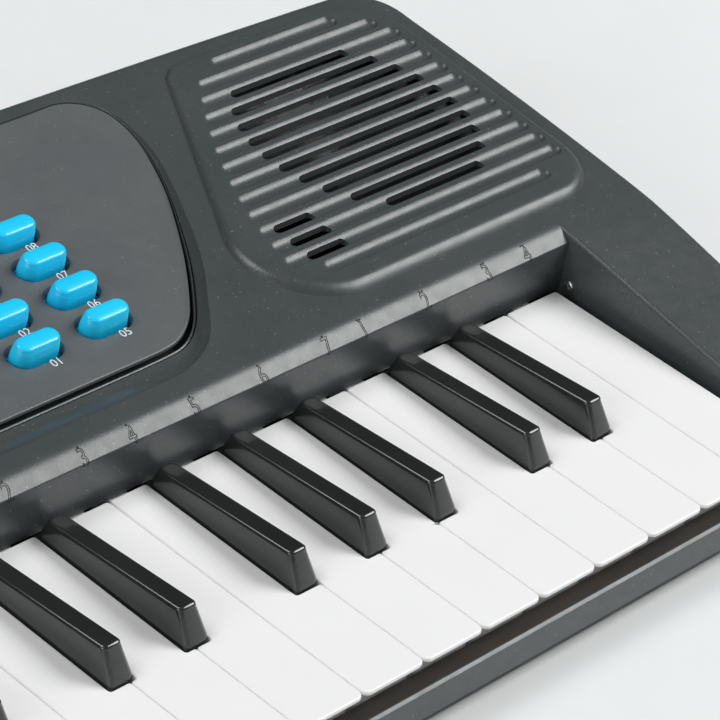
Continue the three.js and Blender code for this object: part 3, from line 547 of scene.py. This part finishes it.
def add_groove(skin, row):
    """One half-round groove with its slots; gives its outline back."""
    x0, x1 = groove_ends(row)
    yc = groove_y(row)
    slots = slot_ends(row)
    ends = [(x0, x1, GROOVE_WIDTH)] + [(a, b, SLOT_WIDTH) for a, b in slots]
    marks = set()
    for a, b, width in ends:
        for turn in steps(0, math.pi / 2, 6):
            reach = width / 2 * (1 - math.cos(turn))
            marks |= {round(a + reach, 4), round(b - reach, 4)}
    half = GROOVE_WIDTH / 2
    arc = (half**2 + GROOVE_DEPTH**2) / (2 * GROOVE_DEPTH)
    marks = sorted(marks)
    outline = {-1: [], 1: []}
    before = None
    for x in marks:
        wide = round_ended(x, x0, x1, GROOVE_WIDTH)
        cut = max([round_ended(x, a, b, SLOT_WIDTH) for a, b in slots] or [0.0])
        past = max(x0 + half - x, x - (x1 - half), 0)
        here = {}
        for side in (-1, 1):
            line = []
            for share in GROOVE_LINES:
                across = wide + (cut - wide) * share
                away = min(half, math.hypot(across, past))
                deep = math.sqrt(arc**2 - away**2) - (arc - GROOVE_DEPTH)
                y = yc + side * across
                line.append((x, y, pad_z(y) - deep))
            here[side] = line
            outline[side].append(line[0][:2])
        if before:
            for side in (-1, 1):
                skin.bridge(before[0][side], here[side], closed=False)
                if before[1] or cut:
                    top = [before[0][side][-1], here[side][-1]]
                    foot = [(px, py, pad_z(yc) - SLOT_DEEP) for px, py, _ in top]
                    skin.bridge(top, foot, closed=False)
        before = (here, cut)
    return outline[-1] + outline[1][::-1][1:-1]


def add_pad(skin):
    """The raised pad and its grooves; gives back the outline that it takes out of the deck."""
    outline = pad_outline()
    lift = [pad_z(y) - deck_z(y) for _, y in outline]
    rings = [flat(inset(outline, -LAP), deck_z)]
    for t in PAD_RINGS:
        line = inset(outline, [t * PAD_WALL_SLOPE * rise for rise in lift])
        share = 1 - (1 - t) ** 2.2
        rings.append([(x, y, deck_z(y) + (pad_z(y) - deck_z(y)) * share) for x, y in line])
    inner = inset(outline, [PAD_WALL_SLOPE * rise + 0.5 for rise in lift])
    rings.append(flat(inner, pad_z))
    skin.loft(rings)
    holes = [add_groove(skin, row) for row in range(GROOVES)]
    skin.fill(inner, pad_z, holes)
    return [p[:2] for p in rings[0]]


# Right side of the recess and of the panel plate, paired: (recess x, recess y, plate x, plate y) in
# pitches, from the middle of the front round to the back
RECESS_PAIRS = [
    (0.0, -0.11, 0.0, 0.50), (2.0, -0.11, 2.1, 0.50), (4.0, -0.11, 4.2, 0.50), (4.35, -0.105, 4.6, 0.50),
    (4.75, -0.075, 4.98, 0.51), (5.12, 0.05, 5.22, 0.55), (5.43, 0.24, 5.46, 0.66),
    (5.70, 0.52, 5.68, 0.82), (5.92, 0.79, 5.87, 1.02), (6.29, 1.25, 6.15, 1.36),
    (6.61, 1.74, 6.46, 1.78), (6.98, 2.43, 6.86, 2.40), (7.20, 2.88, 7.10, 2.84),
    (7.35, 3.24, 7.275, 3.26), (7.44, 3.65, 7.41, 3.65), (7.47, 4.05, 7.45, 4.05),
    (7.41, 4.36, 7.39, 4.355), (7.22, 4.60, 7.205, 4.585), (6.92, 4.73, 6.915, 4.712),
    (6.40, 4.74, 6.40, 4.722), (3.2, 4.74, 3.2, 4.722), (0.0, 4.74, 0.0, 4.722),
]


def recess_lines():
    """Right half of the recess's rim and of the plate's outline, point by point."""
    points = curve([tuple(u(c) for c in row) for row in RECESS_PAIRS])
    return [p[:2] for p in points], [p[2:] for p in points]


def between(outer, inner, share):
    """A line part of the way from the recess's rim to the plate; share may differ by point."""
    shares = share if isinstance(share, list) else [share] * len(outer)
    return [(a[0] + (b[0] - a[0]) * s, a[1] + (b[1] - a[1]) * s) for a, b, s in zip(outer, inner, shares)]


def add_recess(skin):
    """Cove round the panel, with a thin rib and the seat under the plate's edge."""
    rim, plate = recess_lines()
    away = [math.dist(a, b) for a, b in zip(rim, plate)]
    step, rib, slit = [[min(widest, share * d) for d in away] for widest, share in (GAP, RIB, SLIT)]
    foot = [1 - (a + b + c) / d for a, b, c, d in zip(step, rib, slit, away)]
    rings = [flat(inset(rim, -LAP, closed=False), deck_z)]
    for t in COVE_RINGS:
        line = between(rim, plate, [t * s for s in foot])
        rings.append([(x, y, panel_z(y) + (deck_z(y) - panel_z(y)) * (1 - t) ** 2) for x, y in line])
    lines = [between(rim, plate, share) for share in (
        [f + APART for f in foot],
        [1 - (a + b) / d for a, b, d in zip(step, rib, away)],
        [1 - (a + 0.5 * b) / d for a, b, d in zip(step, rib, away)],
        [1 - a / d for a, d in zip(step, away)],
        1.0,
    )]
    for line, drop in ((0, SLIT_DEEP), (1, SLIT_DEEP), (1, RIB_ROUND), (2, 0.0), (3, RIB_ROUND),
                       (3, PANEL_DEEP)):
        rings.append(flat(lines[line], panel_z, drop))
    rings.append(flat(inset(plate, SEAT_WIDTH, closed=False), panel_z, PANEL_DEEP))
    skin.loft(rings, closed=False)
    return [p[:2] for p in rings[0]]


def upper_case():
    """Upper case as one skin: the right half, with its pad and half of the recess, and its mirror."""
    skin = Skin()
    path = wall_path()
    radii = [wall_round(y, x) for x, y in path]
    rings = [flat(inset(path, [r + LAP for r in radii], closed=False), deck_z)]
    for over, down in quarter(1.0, 6):
        line = inset(path, [over * r for r in radii], closed=False)
        rings.append([(x, y, deck_z(y) - down * r) for (x, y), r in zip(line, radii)])
    rings.append(flat(path, level(SEAM_Z + SEAM_EDGE)))
    rings.append(flat(inset(path, SEAM_EDGE, closed=False), level(SEAM_Z)))
    rings.append(flat(inset(path, WALL, closed=False), level(SEAM_Z)))
    rings.append(flat(inset(path, WALL, closed=False), level(SEAM_Z + SEAM_INSIDE)))
    skin.loft(rings, closed=False)
    pad = add_pad(skin)
    recess = add_recess(skin)
    ledge_end = WELL_HALF + 0.2
    outer = [(0.0, DECK_EDGE), (ledge_end, DECK_EDGE)] + [p[:2] for p in rings[0]]
    outer += recess[::-1]
    bends = [[(WELL_HALF + 4, y), (case_half(y) - 4, y)] for y in BEND_LINES if y < -6]
    skin.fill(outer, deck_z, [pad], bends)
    for profile, end in ((ledge_profile(), ledge_end), (lip_profile(), WELL_HALF + CHEEK_CORNER)):
        skin.loft([[(x, y, z) for y, z in profile] for x in (0.0, end)], closed=False)
    skin.mirror()
    piece = skin.make("upper_shell", CASE)
    piece.data.materials.append(LIP_SHADE)  # the strip in front of the keys, darkened with painted shade from the keys' overhang
    for face in piece.data.polygons:
        middle = face.center / MM
        in_front = CASE_FRONT + RIM_WIDE < middle.y < WELL_FRONT + 0.1
        if in_front and abs(middle.x) < WELL_HALF and middle.z < LIP_Z + 0.1:
            face.material_index = 1
    return piece


shell = upper_case()
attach(shell, "case")
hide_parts("upper_case")

# ---------------------------------------------------------------- panel and buttons

SLIDER_SLOTS = [(-u(4.6), u(2.5), 12.0), (-u(3.4), u(2.5), 30.0)]  # x, y and length
SLIDER_SLOT_WIDTH, SLIDER_SLOT_ROUND, SLIDER_SLOT_EDGE = 3.0, 0.6, 0.4
KNOB_HEIGHT, KNOB_RIB, KNOB_MIDDLE = 4.45, 0.4, 2.4
KNOB_FOOT = ((1.1, 1.1, 0.5, -3.0), (4.0, 3.0, -2.8, -5.3))  # half sizes, top and bottom: neck, shoe
# Place along X, and size against the full side view, of a knob's cross-sections
KNOB_RINGS = ((-4.5, 0.88), (-4.25, 0.96), (-3.8, 1), (3.8, 1), (4.25, 0.96), (4.5, 0.88))
button_places = [(x, BUTTON_FIRST_Y + k * BUTTON_PITCH) for x in BUTTON_COLUMNS
                 for k in range(BUTTON_ROWS)]


def panel_plate():
    """Plate with a thinner rim, flared button holes and two slider slots."""
    skin = Skin()
    half = inset(recess_lines()[1], PLATE_FIT, closed=False)
    loop = half + [(-x, y) for x, y in half[::-1][1:-1]]
    side = [(PLATE_FLAT, 0.0), *quarter(PLATE_ROUND, 3), (0.0, PLATE_EDGE), (PLATE_STEP[0], PLATE_EDGE),
            (PLATE_STEP[1], PANEL_THICK)]
    skin.loft([flat(inset(loop, away) if away else loop, panel_z, drop) for away, drop in side])
    holes = []
    for x, y in button_places:
        grown = [pill(x, y, BUTTON_LENGTH + 2 * g, BUTTON_DEPTH + 2 * g) for g in HOLE_RINGS]
        holes.append(grown[0])
        skin.loft([flat(line, panel_z, drop) for line, drop in zip(grown, HOLE_DROPS)])
    for x, y, length in SLIDER_SLOTS:
        hx, hy = SLIDER_SLOT_WIDTH / 2, length / 2
        corners = ((x - hx, y - hy), (x + hx, y - hy), (x + hx, y + hy), (x - hx, y + hy))
        slot = rounded([(*corner, SLIDER_SLOT_ROUND) for corner in corners], 3)
        wide = inset(slot, -SLIDER_SLOT_EDGE)
        holes.append(wide)
        skin.loft([flat(wide, panel_z), flat(slot, panel_z, SLIDER_SLOT_EDGE),
                   flat(slot, panel_z, PANEL_THICK)])
    skin.fill(inset(loop, PLATE_FLAT), panel_z, holes)
    return skin.make("panel_plate", PANEL)


plate = panel_plate()
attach(plate, "case")
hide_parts("control_panel")


def on_panel(x, y, point):
    """A point (along X, up the panel, off the panel) set on the panel at x, y."""
    a = math.radians(PANEL_TILT)
    px, py, h = point
    return (x + px, y + py * math.cos(a) - h * math.sin(a),
            panel_z(y) + py * math.sin(a) + h * math.cos(a))


def tilted(x, y, loops):
    """Rings given as (plan loop about the origin, height), set on the panel at x, y."""
    return [[on_panel(x, y, (px, py, h)) for px, py in loop] for loop, h in loops]


def button(number, x, y):
    """Pill-shaped cap; the flange under the panel keeps it in."""
    skin = Skin()

    def ring(cut, height):
        return pill(0, 0, BUTTON_LENGTH - 2 * cut, BUTTON_DEPTH - 2 * cut), height

    high = -PANEL_THICK - BUTTON_FLANGE_FIT
    low = high - BUTTON_FLANGE_THICK
    rings = [ring(0.0, low), ring(-BUTTON_FLANGE, low), ring(-BUTTON_FLANGE, high), ring(0.0, high),
             ring(0.0, 0.0), ring(BUTTON_LEAN[0], BUTTON_RISE - 1.2)]
    rings += [ring(BUTTON_LEAN[1] + over, BUTTON_RISE - down)
              for over, down in reversed(quarter(BUTTON_ROUND, 5))]
    rings += [ring(cut, BUTTON_RISE + dome) for cut, dome in BUTTON_DOME]
    placed = tilted(x, y, rings)
    skin.loft(placed)
    skin.face(*placed[-1])
    skin.face(*placed[0])
    piece = skin.make(f"button_cap_{number}", BLUE)
    node_name = f"rhythm_button_{number}"
    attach(piece, node_name)
    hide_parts(node_name)


for index, (bx, by) in enumerate(button_places):
    button(index + 1, bx, by)


def lettering(name, text, size, material, line=0.0):
    """Text lying flat at the origin: filled, or only its outline drawn as a thin raised line."""
    data = bpy.data.curves.new(name, "FONT")
    data.body = text
    data.size = size * MM
    data.align_x = "CENTER"
    data.align_y = "CENTER"
    data.resolution_u = 3
    if line:
        data.fill_mode = "NONE"
        data.bevel_depth = line * MM
        data.bevel_resolution = 1
    else:
        data.extrude = INK_THICK * MM
    holder = bpy.data.objects.new(name, data)
    bpy.context.scene.collection.objects.link(holder)
    bpy.context.view_layer.update()
    mesh = bpy.data.meshes.new_from_object(holder.evaluated_get(bpy.context.evaluated_depsgraph_get()))
    bpy.data.objects.remove(holder)
    mesh.materials.clear()
    mesh.materials.append(material)
    piece = bpy.data.objects.new(name, mesh)
    bpy.context.scene.collection.objects.link(piece)
    return piece


def slider(name, x, y, length):
    """Sliding knob at the front end of its slot: ribbed cap, neck in the slot and shoe below."""
    at = y - (length - SLIDER_SLOT_WIDTH) / 2
    ribs = [(3.0 - k / 4, KNOB_HEIGHT + KNOB_RIB * math.cos(k * math.pi / 3)) for k in range(25)]
    side = [(-3.5, 0.4), (3.5, 0.4), (3.2, 3.9), *ribs, (-3.2, 3.9)]
    skin = Skin()
    rings = []
    for px, size in KNOB_RINGS:
        rings.append([on_panel(x, at, (px, py * size, KNOB_MIDDLE + (h - KNOB_MIDDLE) * size))
                      for py, h in side])
    skin.loft(rings)
    skin.face(*rings[0])
    skin.face(*rings[-1])
    for half_x, half_y, high, low in KNOB_FOOT:
        block = tilted(x, at, [(box_loop(0, half_x, -half_y, half_y, 0.3, 0.3), h) for h in (high, low)])
        skin.loft(block)
        skin.face(*block[0])
        skin.face(*block[1])
    piece = skin.make(f"{name}_knob", BLUE)
    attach(piece, name)
    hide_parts(name)


for name, (sx, sy, slot_length) in zip(("power_switch", "volume_slider"), SLIDER_SLOTS):
    slider(name, sx, sy, slot_length)

panel_turn = Matrix.Rotation(math.radians(PANEL_TILT), 4, "X")
for index, (bx, by) in enumerate(button_places):
    ly = by - LABEL_DOWN
    label = lettering(f"button_number_{index + 1}", f"0{index + 1}", LABEL_SIZE, INK)
    place = (bx * MM + LABEL_RIGHT * MM, ly * MM, panel_z(ly) * MM + INK_THICK * MM)
    label.data.transform(Matrix.Translation(place) @ panel_turn)
    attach(label, "case")

# ---------------------------------------------------------------- keys

BLACK_SHIFT = {"F": -0.2, "G": -0.025, "A": 0.17, "C": -0.105, "D": 0.045}
SCALE = "FGABCDE"
WHITE_KEYS = 22

whites, blacks = [], []
for n in range(WHITE_KEYS):
    letter = SCALE[n % 7]
    octave = 3 + (n + 3) // 7
    left = (n - WHITE_KEYS / 2) * PITCH
    whites.append((f"key_{letter}{octave}", left, letter))
    if letter in BLACK_SHIFT and n < WHITE_KEYS - 1:
        blacks.append((f"key_{letter}s{octave}", left + PITCH + u(BLACK_SHIFT[letter])))


def rear_span(left):
    """Left and right side of a white key's narrow rear part."""
    reach = BLACK_WIDTH / 2 + NOTCH_GAP
    x0, x1 = left + WHITE_GAP / 2, left + PITCH - WHITE_GAP / 2
    for _, x in blacks:
        if abs(x - left) < PITCH / 2:
            x0 = x + reach
        if abs(x - left - PITCH) < PITCH / 2:
            x1 = x - reach
    return x0, x1


def key_arm(x, width, start):
    """Arm that runs back over the hinge rod, cut round underneath to fit it."""
    skin = Skin()
    under = [(HINGE_Y + HINGE_FIT * math.cos(a), HINGE_Z + HINGE_FIT * math.sin(a))
             for a in steps(math.pi, 0, 10)]
    side = [(start, ARM_LOW), (HINGE_Y - HINGE_FIT, ARM_LOW), *under, (HINGE_Y + HINGE_FIT, ARM_LOW),
            (HINGE_Y + ARM_TAIL, ARM_LOW), (HINGE_Y + ARM_TAIL, ARM_HIGH), (start, ARM_HIGH)]
    ends = [[(x + s * width / 2, y, z) for y, z in side] for s in (-1, 1)]
    skin.loft(ends)
    for end in ends:
        skin.face(*end)
    return skin


def key_piece(name, skin, arm, material):
    """Joins a key's shell and arm into the piece that replaces its node."""
    for ring in arm.faces:
        skin.face(*[arm.points[i] for i in ring])
    piece = skin.make(name.replace("key", "keytop"), material, sharp=50)
    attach(piece, name)
    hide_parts(name)


def add_press(skin, x, width, low, high):
    """Post under a key that presses the rubber dome."""
    rings = [[(x + sx * width / 2, PRESS_Y + sy * PRESS_DEPTH / 2, z)
              for sx, sy in ((-1, -1), (1, -1), (1, 1), (-1, 1))] for z in (high, low)]
    skin.loft(rings)
    skin.face(*rings[1])


def white_plan(left, front):
    """Outline of a white key whose front is at y = front, narrow between the black keys."""
    x0, x1 = rear_span(left)
    w0, w1 = left + WHITE_GAP / 2, left + PITCH - WHITE_GAP / 2
    notch, step = BLACK_FRONT - NOTCH_GAP, WHITE_FRONT + APRON_DEEP
    corners = [(w0, front, WHITE_CORNER), (w1, front, WHITE_CORNER), (w1, step, 0), (w1, step + 0.1, 0)]
    if x1 < w1:
        corners += [(w1, notch, NOTCH_ROUND), (x1, notch, NOTCH_ROUND)]
    corners += [(x1, WHITE_REAR, REAR_ROUND), (x0, WHITE_REAR, REAR_ROUND)]
    if x0 > w0:
        corners += [(x0, notch, NOTCH_ROUND), (w0, notch, NOTCH_ROUND)]
    return rounded(corners + [(w0, step + 0.1, 0), (w0, step, 0)], 5)


def white_key(name, left):
    """Hollow white key whose top reaches over the strip in front of it."""
    top, body = white_plan(left, WHITE_FRONT - OVERHANG), white_plan(left, WHITE_FRONT)
    skin = Skin()
    rings = [flat(inset(top, WHITE_FLAT), level(WHITE_TOP))]
    rings += [flat(inset(top, over), level(WHITE_TOP - down)) for over, down in quarter(WHITE_EDGE, 5)]
    rings += [flat(top, level(WHITE_TOP - OVERHANG_THICK)), flat(body, level(WHITE_TOP - OVERHANG_THICK))]
    foot = [APRON_Z if y < WHITE_FRONT + APRON_DEEP + 0.05 else SKIRT_Z for _, y in body]
    rings.append([(x, y, z) for (x, y), z in zip(body, foot)])
    rings.append([(x, y, z) for (x, y), z in zip(inset(body, KEY_WALL), foot)])
    rings.append(flat(inset(body, KEY_WALL), level(KEY_HOLLOW_Z)))
    skin.loft(rings)
    skin.fill([p[:2] for p in rings[0]], level(WHITE_TOP))
    skin.fill([p[:2] for p in rings[-1]], level(KEY_HOLLOW_Z))
    middle = sum(rear_span(left)) / 2
    add_press(skin, middle, WHITE_PRESS, WHITE_PRESS_Z, KEY_HOLLOW_Z)
    arm = key_arm(middle, WHITE_ARM, WHITE_REAR - KEY_WALL)
    key_piece(name, skin, arm, WHITE)


def black_key(name, x):
    """Hollow black key, sloping in at its sides and its nose, and lower at the rear."""
    base, top = BLACK_WIDTH / 2, BLACK_TOP_WIDTH / 2
    nose = BLACK_FRONT + BLACK_NOSE

    def top_z(y):
        share = (y - nose) / (BLACK_REAR - nose)
        return WHITE_TOP + BLACK_RISE_FRONT + (BLACK_RISE_REAR - BLACK_RISE_FRONT) * share

    foot = box_loop(x, base, BLACK_FRONT, BLACK_REAR, *BLACK_FOOT_ROUND)
    crest = box_loop(x, top, nose, BLACK_REAR - BLACK_LEAN_REAR, *BLACK_CREST_ROUND)
    skin = Skin()
    rings = [flat(inset(foot, KEY_WALL), level(z)) for z in (BLACK_HOLLOW_Z, BLACK_SKIRT_Z)]
    rings += [flat(foot, level(z)) for z in (BLACK_SKIRT_Z, WHITE_TOP + BLACK_UPRIGHT)]
    rings += [flat(inset(crest, over), top_z, down) for over, down in reversed(quarter(BLACK_EDGE, 6))]
    rings += [flat(inset(crest, BLACK_FLAT), top_z)]
    skin.loft(rings)
    skin.face(*rings[-1])
    skin.face(*rings[0])
    add_press(skin, x, BLACK_PRESS, BLACK_PRESS_Z, BLACK_HOLLOW_Z)
    arm = key_arm(x, BLACK_ARM, BLACK_REAR - KEY_WALL)
    key_piece(name, skin, arm, BLACK)


for key_name, key_left, _ in whites:
    white_key(key_name, key_left)
for key_name, key_x in blacks:
    black_key(key_name, key_x)

# Outlined note numbers on the bevel behind the keys
NOTE_NUMBER = {"C": "1", "D": "2", "E": "3", "F": "4", "G": "5", "A": "6", "B": "7"}
NOTE_PLACE = {"C": 0.35, "D": 0.49, "E": 0.65, "F": 0.42, "G": 0.44, "A": 0.58, "B": 0.70}
NOTE_SIZE, NOTE_LINE, NOTE_MIDDLE, NOTE_SLIM = 6.6, 0.13, 6.3, 0.78
DOT_R, DOT_APART, DOT_UP = 0.3, 1.1, 2.9
ledge_line = ledge_profile()


def on_ledge(along, above):
    """Height and depth of a spot on the ledge, measured down along its surface from the deck."""
    for (y0, z0), (y1, z1) in zip(ledge_line, ledge_line[1:]):
        step = math.hypot(y1 - y0, z1 - z0)
        if along <= step:
            break
        along -= step
    wy, wz = (y1 - y0) / step, (z1 - z0) / step
    return y0 + wy * along + wz * above, z0 + wz * along - wy * above


def wrap(piece, x):
    """Lays flat lettering on the curved ledge at x, with enough points to follow the curve."""
    work = bmesh.new()
    work.from_mesh(piece.data)
    for y in steps(-NOTE_SIZE / 2, NOTE_SIZE / 2, 10):
        bmesh.ops.bisect_plane(work, geom=work.verts[:] + work.edges[:] + work.faces[:],
                               plane_co=(0, y * MM, 0), plane_no=(0, 1, 0))
    work.to_mesh(piece.data)
    work.free()
    for vertex in piece.data.vertices:
        flat_x, flat_y, flat_z = vertex.co / MM
        y, z = on_ledge(NOTE_MIDDLE - flat_y, flat_z)
        vertex.co = Vector((x + flat_x * NOTE_SLIM, y, z)) * MM


def note_dots(name, count, x):
    """Small domes above a note number, one for each octave up."""
    skin = Skin()
    for k in range(count):
        off = (k - (count - 1) / 2) * DOT_APART
        rings = []
        for over, down in quarter(1.0, 3):
            r = DOT_R * (1 - over)
            rings.append([(off + r * math.cos(a), DOT_UP + r * math.sin(a), DOT_R * (1 - down))
                          for a in steps(0, 2 * math.pi, 10)[:-1]])
        skin.loft(rings)
        skin.face(*rings[0])
    piece = skin.make(name, LINE)
    wrap(piece, x)
    return piece


for key_name, key_left, letter in whites:
    x = key_left + u(NOTE_PLACE[letter])
    digit = lettering(f"note_number_{key_name[4:]}", NOTE_NUMBER[letter], NOTE_SIZE, LINE, line=NOTE_LINE)
    wrap(digit, x)
    marks = [digit]
    octave_up = int(key_name[-1]) - 4
    if octave_up > 0:
        marks.append(note_dots(f"note_dots_{key_name[4:]}", octave_up, x))
    for mark in marks:
        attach(mark, "case")

# ---------------------------------------------------------------- screws and foot rings

CASE_SCREWS = [(s * x, y) for x, y in ((240, 84), (163, 90), (238, -45)) for s in (-1, 1)]
FEET = [(s * 232, y) for y in (76, -84) for s in (-1, 1)]
SCREW_SEAT_Z = 3.2
DOOR_SCREW = (-106.0, 32.5, 2.0)
CORNER_SCREW = (WELL_HALF, -15.5, 19.6)
# Radius of the head, and length below it
CASE_SCREW_SIZE, DOOR_SCREW_SIZE, CORNER_SCREW_SIZE = (2.7, 9.0), (2.2, 5.0), (1.6, 2.0)
# Radius and height of the corners of a rubber ring's cross-section
FOOT_RING = [(7.1, 1.7), (7.1, 0.0), (8.0, 0.0), (8.4, 0.3), (8.4, 1.3), (8.1, 1.7)]


def circle(r, z, count=24):
    return [(r * math.cos(a), r * math.sin(a), z) for a in steps(0, 2 * math.pi, count)[:-1]]


def screw(name, place, turn, head, reach, material):
    """Pan head screw with a cross recess; its head looks along local +Z from the seat."""
    skin = Skin()
    rise = shank = head * 0.5
    rings = [circle(head * 0.2, -reach), circle(shank, -reach + 1), circle(shank, 0), circle(head, 0)]
    rings += [circle(head * (1 - over), rise * (1 - down)) for over, down in reversed(quarter(0.5, 5))]
    top = level(rise)
    arm, wide = head * 0.42, head * 0.13
    cross = [(arm, -wide), (arm, wide), (wide, wide), (wide, arm), (-wide, arm), (-wide, wide),
             (-arm, wide), (-arm, -wide), (-wide, -wide), (-wide, -arm), (wide, -arm), (wide, -wide)]
    skin.loft(rings)
    skin.face(*rings[0])
    skin.fill([p[:2] for p in rings[-1]], top, [cross])
    floor_ring = flat([(x * 0.7, y * 0.7) for x, y in cross], level(rise * 0.2))
    skin.loft([flat(cross, top), floor_ring])
    skin.face(*floor_ring)
    piece = skin.make(name, material)
    piece.data.transform(Matrix.Translation([c * MM for c in place]) @ turn)
    return piece


head_down = Matrix.Rotation(math.pi, 4, "X")
for index, (x, y) in enumerate(CASE_SCREWS):
    piece = screw(f"case_screw_{index + 1}", (x, y, SCREW_SEAT_Z), head_down, *CASE_SCREW_SIZE, STEEL)
    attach(piece, "case")
piece = screw("door_screw", DOOR_SCREW, head_down, *DOOR_SCREW_SIZE, STEEL)
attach(piece, "case")
head_inward = Matrix.Rotation(-math.pi / 2, 4, "Y")
piece = screw("corner_screw", CORNER_SCREW, head_inward, *CORNER_SCREW_SIZE, GLOSS)
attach(piece, "case")

for index, (x, y) in enumerate(FEET):
    skin = Skin()
    rings = [[(x + px, y + py, z) for px, py, _ in circle(r, 0, 32)] for r, z in FOOT_RING]
    skin.loft(rings + rings[:1])
    piece = skin.make(f"foot_ring_{index + 1}", RUBBER)
    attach(piece, "case")

# ---------------------------------------------------------------- finishes of the CAD pieces

FINISHES = {
    "lower_case": LOWER, "battery_door": LOWER, "main_board": BOARD, "button_mat": RUBBER,
    "key_board": BOARD, "key_contact_strip": RUBBER, "key_rail": STEEL, "key_felt": FELT,
    "speaker_left": CONE, "speaker_right": CONE,
}
for node_name, material in FINISHES.items():
    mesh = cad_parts[node_name].data
    mesh.materials.clear()
    mesh.materials.append(material)

# ---------------------------------------------------------------- camera, floor and light

CAMERA_PLACE = Vector((-0.4446, -0.4632, 0.5275))
CAMERA_AIM = Vector((0.1524, -0.0076, 0.019))
CAMERA_ROLL = 11.41
CAMERA_LENS, CAMERA_SENSOR = 182.0, 36
CAMERA_REACH = 20  # metres
BRIGHT_SIDE = (-0.25, -0.83, 0.50)  # direction in which the surroundings are brightest
SURROUNDINGS = 0.23  # their strength
SKY_STOPS = ((0.35, 0.24), (0.55, 0.5), (0.75, 0.9))  # place from the dim to the bright side, and grey
LIGHT_AIM = (0.15, 0, 0)
# Place, width, height and power of each softbox
SOFTBOXES = {
    "left_back": ((-0.80, 0.9, 1.9), 1.0, 1.0, 18),
    "right_front": ((1.8, -0.82, 1.7), 1.5, 1.2, 54),
    "left_fill": ((-1.9, -0.2, 0.8), 1.5, 1.1, 14),
}
FLOOR_REACH = 6000.0


def camera():
    """The photo's camera: from the front left and above, rolled a little."""
    data = bpy.data.cameras.new("camera")
    data.lens = CAMERA_LENS
    data.sensor_width = CAMERA_SENSOR
    data.clip_end = CAMERA_REACH
    piece = bpy.data.objects.new("camera", data)
    bpy.context.scene.collection.objects.link(piece)
    aim = (CAMERA_AIM - CAMERA_PLACE).to_track_quat("-Z", "Y").to_matrix().to_4x4()
    piece.matrix_world = (Matrix.Translation(CAMERA_PLACE) @ aim
                          @ Matrix.Rotation(math.radians(CAMERA_ROLL), 4, "Z"))
    bpy.context.scene.camera = piece


def softbox(name, place, width, height, power):
    """Rectangular lamp aimed at the treble half of the keyboard."""
    data = bpy.data.lights.new(name, "AREA")
    data.shape = "RECTANGLE"
    data.size, data.size_y = width, height
    data.energy = power
    piece = bpy.data.objects.new(name, data)
    bpy.context.scene.collection.objects.link(piece)
    way = (Vector(LIGHT_AIM) - Vector(place)).to_track_quat("-Z", "Y").to_matrix().to_4x4()
    piece.matrix_world = Matrix.Translation(place) @ way


def floor():
    """Pale paper under the keyboard, reaching out of sight."""
    skin = Skin()
    corners = ((-1, -1), (1, -1), (1, 1), (-1, 1))
    skin.face(*[(x * FLOOR_REACH, y * FLOOR_REACH, 0.0) for x, y in corners])
    material = finish_of("floor_paper", (0.78, 0.80, 0.80), (0.79, 0.81, 0.81), (0.65, 0.75))
    piece = skin.make("floor", material)


def surroundings():
    """A studio that is bright in front of the keyboard and dim on its far side."""
    world = bpy.data.worlds.new("studio")
    bpy.context.scene.world = world
    world.use_nodes = True
    tree = world.node_tree
    spot = node(tree, "ShaderNodeTexCoord").outputs["Generated"]
    facing = node(tree, "ShaderNodeVectorMath", operation="DOT_PRODUCT")
    tree.links.new(spot, facing.inputs[0])
    facing.inputs[1].default_value = BRIGHT_SIDE
    ramp = node(tree, "ShaderNodeValToRGB")
    tree.links.new(span(tree, facing.outputs["Value"], -1.0, 1.0, 0.0, 1.0), ramp.inputs[0])
    stops = ramp.color_ramp.elements
    stops[0].position, stops[0].color = 0.0, (0.12, 0.13, 0.13, 1)
    stops[1].position, stops[1].color = 1.0, (1.0, 1.0, 1.0, 1)
    for place, grey in SKY_STOPS:
        stop = stops.new(place)
        stop.color = (grey, grey, grey, 1)
    back = tree.nodes["Background"]
    tree.links.new(ramp.outputs[0], back.inputs["Color"])
    back.inputs["Strength"].default_value = SURROUNDINGS


camera()
floor()
surroundings()
for name, setting in SOFTBOXES.items():
    softbox(name, *setting)
scene = bpy.context.scene
scene.view_settings.view_transform = "Standard"
